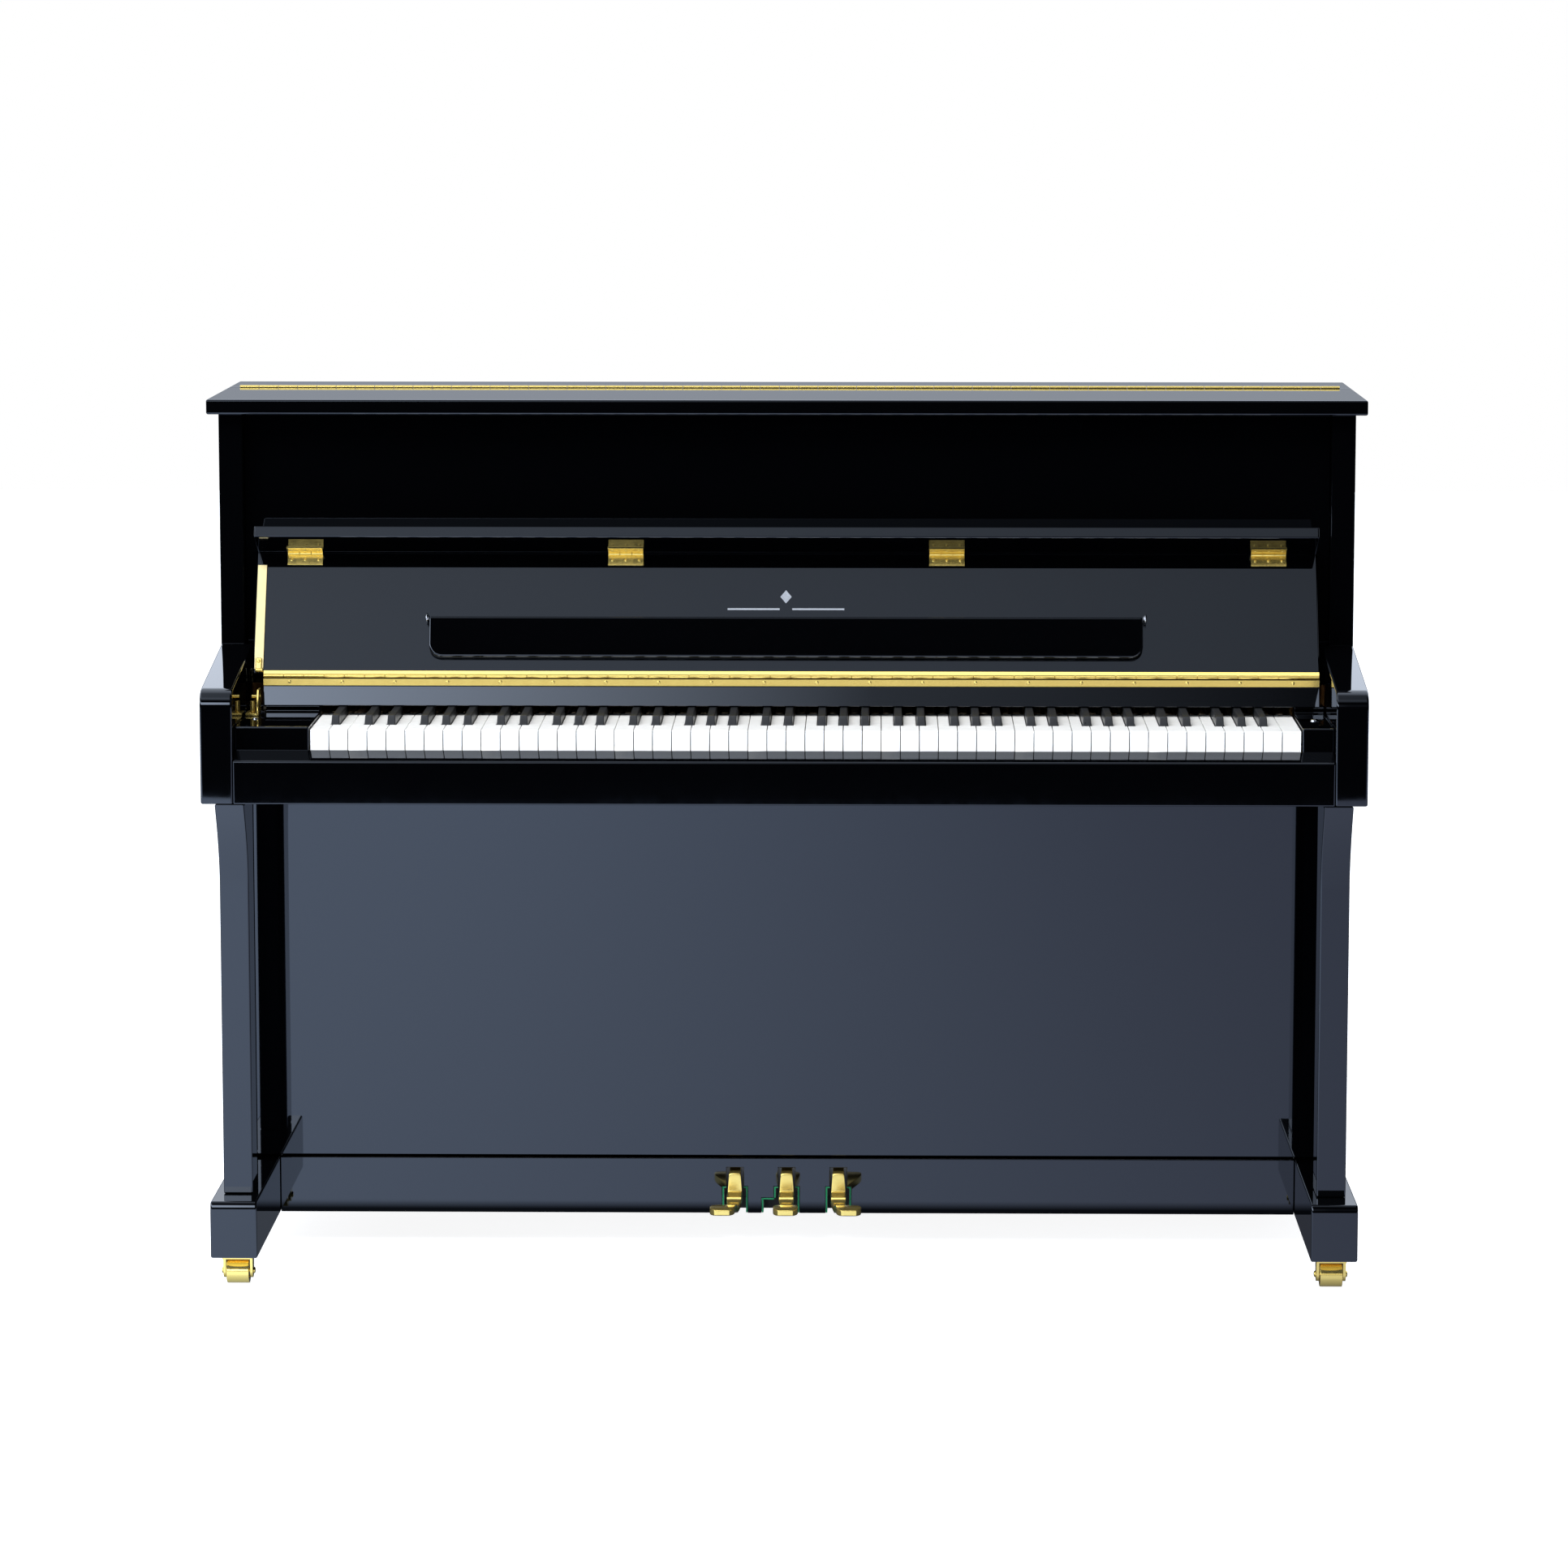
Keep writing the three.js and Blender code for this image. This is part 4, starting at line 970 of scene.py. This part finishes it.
def build_inlay():
    """A plain lozenge between two thin lines, let into the fallboard above the shelf."""
    deselect()
    bpy.ops.mesh.primitive_cylinder_add(vertices=4, radius=9 * MM, depth=0.3 * MM,
                                        location=mm(0, -0.15, 107),
                                        rotation=(math.radians(90), 0, 0))
    lozenge = settle(added("lozenge"))
    moved(lozenge, Matrix.Diagonal((0.8, 1, 1, 1)))
    pick_faces(lozenge, lambda face: face.normal.y < -0.9)
    bpy.ops.mesh.inset(thickness=2.2 * MM)
    extrude((0, 0.2 * MM, 0))
    leave_edit()
    lines = [block("line", mm(x0, -0.3, 89), mm(x1, 0.05, 91.6)) for x0, x1 in ((-74, -8), (8, 74))]
    inlay = join([lozenge] + lines, "fallboard_inlay")
    bevel(inlay, 0.08 * MM, 1)
    fit_out(moved(inlay, LEAN), "fallboard", "nickel")


def build_slip_studs():
    """Two small studs where the key slip meets the key blocks."""
    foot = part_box("key_block_left")[1].z
    for side, x in (("left", -0.655), ("right", 0.655)):
        stud = rod(f"key_block_stud_{side}", (x, -0.263, foot - 1 * MM),
                   (x, -0.263, foot + 1.6 * MM), 4 * MM, 24, 3.4 * MM)
        round_edges(stud, 0.5 * MM, 3)
        fit_out(stud, "root", "steel")


# ---------------------------------------------------------------- pedals
# Each pedal's middle and how far its toe sweeps sideways, in millimetres.
PEDALS = {"pedal_left": (-67, -14), "pedal_middle": (0, 0), "pedal_right": (67, 14)}
# Half widths of the bottom rail's notches and of the slots above them, and the felt.
NOTCH, SLOT, LATCH, FELT = 16.4 * MM, 11.2 * MM, 32.3 * MM, 2.2 * MM
NOTCH_TOP, LATCH_TOP = 77 * MM, 61.8 * MM
# Back to front: how far along, sideways share of the sweep, height, half width and half thickness.
PEDAL_SECTIONS = [
    (80, 0, 91, 7.2, 6.6), (30, 0, 91, 7.2, 6.6), (-8, 0, 90.4, 7.4, 6.8), (-19, 0, 84.6, 7.6, 12.2),
    (-27.6, 0, 84.0, 8.0, 12.6), (-28.8, 0, 67.0, 9.8, 5.5), (-55, 0.02, 65.8, 9.8, 5.3),
    (-58, 0.04, 61.2, 9.0, 4.6), (-66, 0.08, 59.4, 8.0, 4.4), (-78, 0.16, 59.4, 7.9, 4.6),
    (-84, 0.26, 60.8, 8.6, 4.8), (-96, 0.6, 64.8, 12.4, 4.9), (-112, 0.92, 67.4, 15.6, 4.9),
    (-125, 1, 68.2, 16.6, 4.8), (-135, 1, 68.2, 14.4, 4.6), (-141, 1, 68.0, 9.6, 3.9),
]


def pedal(name, centre, sweep):
    """Drawn out section by section from its tail to the tip of its toe."""
    y, share, z, half, thick = PEDAL_SECTIONS[0]
    shape = block(name, ((centre - half) * MM, (y - 4) * MM, (z - thick) * MM),
                  ((centre + half) * MM, y * MM, (z + thick) * MM))
    pick_faces(shape, lambda face: face.normal.y < -0.9)
    at = Vector((centre, y - 4, z))
    size = Vector((half, 1, thick))
    for y, share, z, half, thick in PEDAL_SECTIONS[1:]:
        goal = Vector((centre + share * sweep, y, z))
        extrude((goal - at) * MM)
        bpy.ops.transform.resize(value=(half / size.x, 1, thick / size.z), center_override=goal * MM)
        at, size = goal, Vector((half, 1, thick))
    leave_edit()
    bevel(shape, 2.2 * MM, 2, 50)
    modify(shape, "SUBSURF", levels=2, render_levels=2)
    return smooth(shape, 60)


def felt_strip(name, x0, x1, depth, z0, z1):
    return block(name, (min(x0, x1), depth[0], z0), (max(x0, x1), depth[1], z1))


def build_pedals():
    """The pedals, and the felt round their notches and the middle one's latch."""
    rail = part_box("bottom_rail")
    depth = (rail[0].y + 0.6 * MM, rail[1].y + 3 * MM)
    foot, top = rail[0].z + 0.5 * MM, NOTCH_TOP - 0.2 * MM
    felts = []
    for node, (centre, sweep) in PEDALS.items():
        fit_brass(pedal(node + "_cast", centre, sweep), body_of_node(node), node)
        x = centre * MM
        for side in (-1, 1):
            latch = node == "pedal_middle" and side < 0
            outer, inner = x + side * NOTCH, x + side * (NOTCH - FELT)
            felts.append(felt_strip("wall", outer, inner, depth, 62 * MM if latch else foot, top))
            felts.append(felt_strip("shoulder", inner, x + side * SLOT, depth,
                                    NOTCH_TOP - FELT, top))
            if latch:
                end = x - LATCH
                felts.append(felt_strip("latch_wall", end, end + FELT, depth, foot, LATCH_TOP))
                felts.append(felt_strip("latch_roof", end + FELT, x - NOTCH, depth,
                                        LATCH_TOP - FELT, LATCH_TOP))
    lining = join(felts, "pedal_felt")
    bevel(lining, 0.5 * MM, 2)
    smooth(lining)
    fit_out(lining, "root", "green_felt")


# ---------------------------------------------------------------- casters
CORNERS = ("front_left", "front_right", "rear_left", "rear_right")


def roller(name, centre, radius, half):
    """A wide barrel wheel with a groove near each end and dished hubs."""
    wheel = rod(name, centre - Vector((half, 0, 0)), centre + Vector((half, 0, 0)), radius, 48)
    for side in (-1, 1):
        pick_faces(wheel, lambda face: face.normal.x * side > 0.9)
        bpy.ops.mesh.inset(thickness=radius * 0.34)
        extrude((-side * half * 0.14, 0, 0))
        bpy.ops.mesh.inset(thickness=radius * 0.2)
        extrude((side * half * 0.1, 0, 0))
        leave_edit()
    return round_edges(wheel, 1.1 * MM, 3)


def build_casters():
    for corner in CORNERS:
        node = f"caster_wheel_{corner}"
        low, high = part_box(node)
        centre = (low + high) / 2
        wheel = roller(node + "_turned", centre, (high.z - low.z) / 2, (high.x - low.x) / 2)
        fit_brass(wheel, body_of_node(node), node)
        node = f"caster_fork_{corner}"
        parts = [copy_of_node(node, node + "_cast")]
        round_edges(parts[0], 0.8 * MM, 3)
        for side, cheek in zip((-1, 1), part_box(node)):
            end = Vector((cheek.x, centre.y, centre.z))
            cap = rod("cap", end - mm(side * 0.6, 0, 0), end + mm(side * 1.6, 0, 0), 4.6 * MM, 20,
                      3.0 * MM)
            parts.append(round_edges(cap, 0.7 * MM, 3))
        fit_brass(join(parts, node + "_cast"), body_of_node(node), node)


# ---------------------------------------------------------------- action, strings and plate
STRIKE_Y = 177.5 * MM
BASS_FORWARD = 4 * MM
HAMMER_PIVOT = Vector((0, 0.111, 0.804))
HAMMER_HEIGHT = 0.912  # the middle of the heads
DAMPED_NOTES = 66
BASS_NOTES, SINGLE_WOUND_NOTES = 26, 9
PIN_ROWS = 4
STRING_TOP, STRING_FOOT = 0.93, 0.2
# Points on the treble bridge's course, and the bass bridge's, in X and Z.
TREBLE_BRIDGE = [(-0.28, 0.25), (-0.05, 0.33), (0.2, 0.47), (0.42, 0.65), (0.55, 0.8)]
BASS_BRIDGE = [(0.0, 0.2), (0.36, 0.27)]


def note_places():
    """The middle of each of the 88 notes, spread evenly between the action brackets."""
    low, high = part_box("action_frame")
    left, right = low.x, high.x
    sections = (29, 30, 29)
    margin = 13 * MM
    places = []
    step = (right - left) / 3
    for number, count in enumerate(sections):
        start = left + number * step + margin
        width = step - 2 * margin
        places += [start + (i + 0.5) * width / count for i in range(count)]
    return places


def hammer_patterns():
    """One hammer at x = 0: its wood, from butt to moulding, and its wool head."""
    pivot = HAMMER_PIVOT
    butt = block("butt", pivot - mm(4.5, 8, 14), pivot + mm(4.5, 6, 16))
    pick_faces(butt, lambda face: face.normal.z > 0.9)
    bpy.ops.transform.resize(value=(0.7, 0.5, 1), center_override=pivot)
    leave_edit()
    round_edges(butt, 1.2 * MM, 2)
    shank = rod("shank", pivot + mm(0, -1, 12), pivot + mm(0, -1, 116), 2.9 * MM, 8)
    moulding = block("moulding", pivot + mm(-4, -5, 103), pivot + mm(4, 12, 113))
    round_edges(moulding, 0.8 * MM, 1)
    wood = join([butt, shank, moulding], "hammer_wood_pattern")
    felt = block("felt", pivot + mm(-4.6, 3, 96), pivot + mm(4.6, 18, 120))
    pick_faces(felt, lambda face: face.normal.y > 0.9)
    extrude((0, 11 * MM, 0))
    bpy.ops.transform.resize(value=(1, 1, 0.25), center_override=(0, pivot.y, HAMMER_HEIGHT))
    leave_edit()
    bevel(felt, 3 * MM, 2, 20)
    smooth(felt, 60)
    return wood, felt


def build_hammers(places):
    wood, felt = hammer_patterns()
    centre = shift((0, HAMMER_PIVOT.y, HAMMER_HEIGHT))
    woods, felts = [], []
    for number, x in enumerate(places):
        scale = 1.08 - 0.22 * number / len(places)
        shrink = centre @ Matrix.Diagonal((1, 1, scale, 1)) @ centre.inverted()
        woods.append(shift((x, 0, 0)))
        felts.append(shift((x, 0, 0)) @ shrink)
    row = repeated(wood, woods, "hammers_wood")
    fit_out(row, "hammers", "maple", ["hammer_rail"])
    row = repeated(felt, felts, "hammers_felt")
    fit_out(row, "hammers", "wool", ["hammer_rail"])
    low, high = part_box("hammer_rail")
    rail = block("hammer_rest_rail", (low.x, 0.087, 0.86), (high.x, 0.1, 0.88))
    round_edges(rail, 2 * MM, 3)
    fit_out(rail, "hammers", "maple", ["hammer_rail"])
    cushion = block("hammer_rest_felt", (low.x, 0.1, 0.861), (high.x, 0.1068, 0.879))
    round_edges(cushion, 2.2 * MM, 3)
    fit_out(cushion, "hammers", "green_felt", ["hammer_rail"])


def build_dampers(places):
    """A lever, a wire and a block of felt for each of the lower notes."""
    damped = [(x, 0, 0) for x in places[:DAMPED_NOTES]]
    head = block("head", (-4.6 * MM, 0.1605, 0.842), (4.6 * MM, 0.173, 0.87))
    pick_faces(head, lambda face: face.normal.y > 0.9)
    bpy.ops.mesh.inset(thickness=1.2 * MM)
    bpy.ops.transform.translate(value=(0, 1.4 * MM, 0))
    leave_edit()
    round_edges(head, 0.6 * MM, 1)
    row = row_of(head, damped, "dampers_felt")
    fit_out(row, "dampers", "red_felt", ["damper_rail"])
    wire = rod("wire", (0, 0.1505, 0.812), (0, 0.1605, 0.856), 0.9 * MM, 6)
    lever = block("lever", (-4 * MM, 0.1445, 0.789), (4 * MM, 0.1535, 0.822))
    round_edges(lever, 0.8 * MM, 1)
    row = row_of(wire, damped, "dampers_wire")
    fit_out(row, "dampers", "steel", ["damper_rail"])
    row = row_of(lever, damped, "dampers_lever")
    low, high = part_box("damper_rail")
    rail = rod("rail", (low.x, 0.149, 0.806), (high.x, 0.149, 0.806), 2.6 * MM, 12)
    row = join([row, smooth(rail)], "dampers_lever")
    fit_out(row, "dampers", "maple", ["damper_rail"])


def string_course():
    """Where each string runs: top and bottom points, and its radius."""
    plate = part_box("iron_plate")
    left, right = plate[0].x + 30 * MM, plate[1].x - 30 * MM
    width = right - left
    courses = []
    bass_y = STRIKE_Y - BASS_FORWARD
    for note in range(BASS_NOTES):
        share = note / (BASS_NOTES - 1)
        x_top = left + (0.02 + 0.27 * share) * width
        x_foot = left + (0.42 + 0.38 * share) * width
        wires = 1 if note < SINGLE_WOUND_NOTES else 2
        for wire in range(wires):
            aside = (wire - (wires - 1) / 2) * 5 * MM
            courses.append(((x_top + aside, bass_y, STRING_TOP),
                            (x_foot + aside, bass_y, STRING_FOOT),
                            (2.2 - 1.2 * share) * MM * 0.5, "copper"))
    for note in range(88 - BASS_NOTES):
        share = note / (87 - BASS_NOTES)
        x_top = left + (0.33 + 0.65 * share) * width
        x_foot = x_top - (0.27 - 0.2 * share) * width
        foot = STRING_FOOT + 0.52 * share ** 1.4
        for wire in range(3):
            aside = (wire - 1) * 3 * MM
            courses.append(((x_top + aside, STRIKE_Y, STRING_TOP),
                            (x_foot + aside, STRIKE_Y, foot), 0.5 * MM, "steel"))
    return courses


def build_strings():
    """Wound bass strings cross in front of the plain steel ones, from pins at the top."""
    pattern = rod("string", (0, 0, 0), (0, 0, 1), 1, 5)
    pin = rod("tuning_pin", (0, 0, 0), (0, -32 * MM, 0), 3.4 * MM, 8, 3.1 * MM)
    round_edges(pin, 0.5 * MM, 1)
    coil = rod("coil", (0, -6 * MM, 0), (0, -12 * MM, 0), 4.6 * MM, 10)
    pin = join([pin, coil], "tuning_pin")
    hitch = rod("hitch", (0, 3 * MM, 0), (0, -8 * MM, 0), 1.6 * MM, 6)
    wires = {"steel": [], "copper": []}
    pins, hitches = [], []
    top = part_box("pin_block")[1].z - 28 * MM
    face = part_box("iron_plate")[0].y
    for number, (start, end, radius, kind) in enumerate(string_course()):
        start, end = Vector(start), Vector(end)
        row = number % PIN_ROWS
        drop = row * 20 * MM + (22 * MM if kind == "copper" else 0)
        pin_point = Vector((start.x + row * 2.2 * MM, face + 2 * MM, top - drop))
        for a, b in ((start, end), (pin_point - mm(0, 10, 0), start)):
            axis = b - a
            turn = axis.to_track_quat("Z", "Y").to_matrix().to_4x4()
            thick = radius if kind == "copper" and a == start else min(radius, 0.6 * MM)
            matrix = shift(a) @ turn @ Matrix.Diagonal((thick, thick, axis.length, 1))
            wires[kind if a == start else "steel"].append(matrix)
        pins.append(shift(pin_point))
        hitches.append(shift((end.x, face, end.z)))
    for kind, matrices in wires.items():
        row = join([placed(pattern, "wire", matrix) for matrix in matrices], f"strings_{kind}")
        smooth(row, 80)
        fit_out(row, "root", kind)
    bpy.data.objects.remove(pattern)
    fit_out(repeated(pin, pins, "tuning_pins"), "root", "steel")
    fit_out(repeated(hitch, hitches, "hitch_pins"), "root", "steel")


def slanted_bar(start, end, y0, y1):
    """A bar of the bridge between two points on the soundboard, in X and Z."""
    run = Vector((end[0] - start[0], 0, end[1] - start[1]))
    half = 14 * MM
    bar = round_edges(block("bar", (-half, y0, 0), (half, y1, run.length)), 2 * MM, 2)
    turn = Matrix.Rotation(math.atan2(run.x, run.z), 4, "Y")
    return moved(bar, shift((start[0], 0, start[1])) @ turn)


def build_bridges():
    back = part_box("soundboard")[0].y - 0.2 * MM
    top = STRIKE_Y + 1.2 * MM
    bars = [slanted_bar(a, b, top, back) for a, b in zip(TREBLE_BRIDGE, TREBLE_BRIDGE[1:])]
    bars.append(slanted_bar(*BASS_BRIDGE, top - BASS_FORWARD, back))
    fit_out(join(bars, "bridges"), "root", "maple")


def build_wippens(places):
    """The levers between the keys and the hammers, with their jacks and back checks."""
    lever = block("lever", (-3.6 * MM, 0.07, 0.748), (3.6 * MM, 0.118, 0.758))
    jack = block("jack", (-3 * MM, 0.098, 0.757), (3 * MM, 0.106, 0.786))
    check = block("check", (-4 * MM, 0.066, 0.758), (4 * MM, 0.073, 0.778))
    wippen = join([lever, jack, check], "wippen")
    bevel(wippen, 0.7 * MM, 1)
    row = row_of(wippen, [(x, 0, 0) for x in places], "wippens")
    fit_out(row, "root", "maple")


build_case()
build_keys()
build_sticks()
build_fallboard_hinge()
build_lid_hinge()
build_lip_hinges()
build_shelf_pivots()
build_slow_close()
build_inlay()
build_slip_studs()
build_pedals()
build_casters()
NOTES = note_places()
build_hammers(NOTES)
build_dampers(NOTES)
build_strings()
build_bridges()
build_wippens(NOTES)
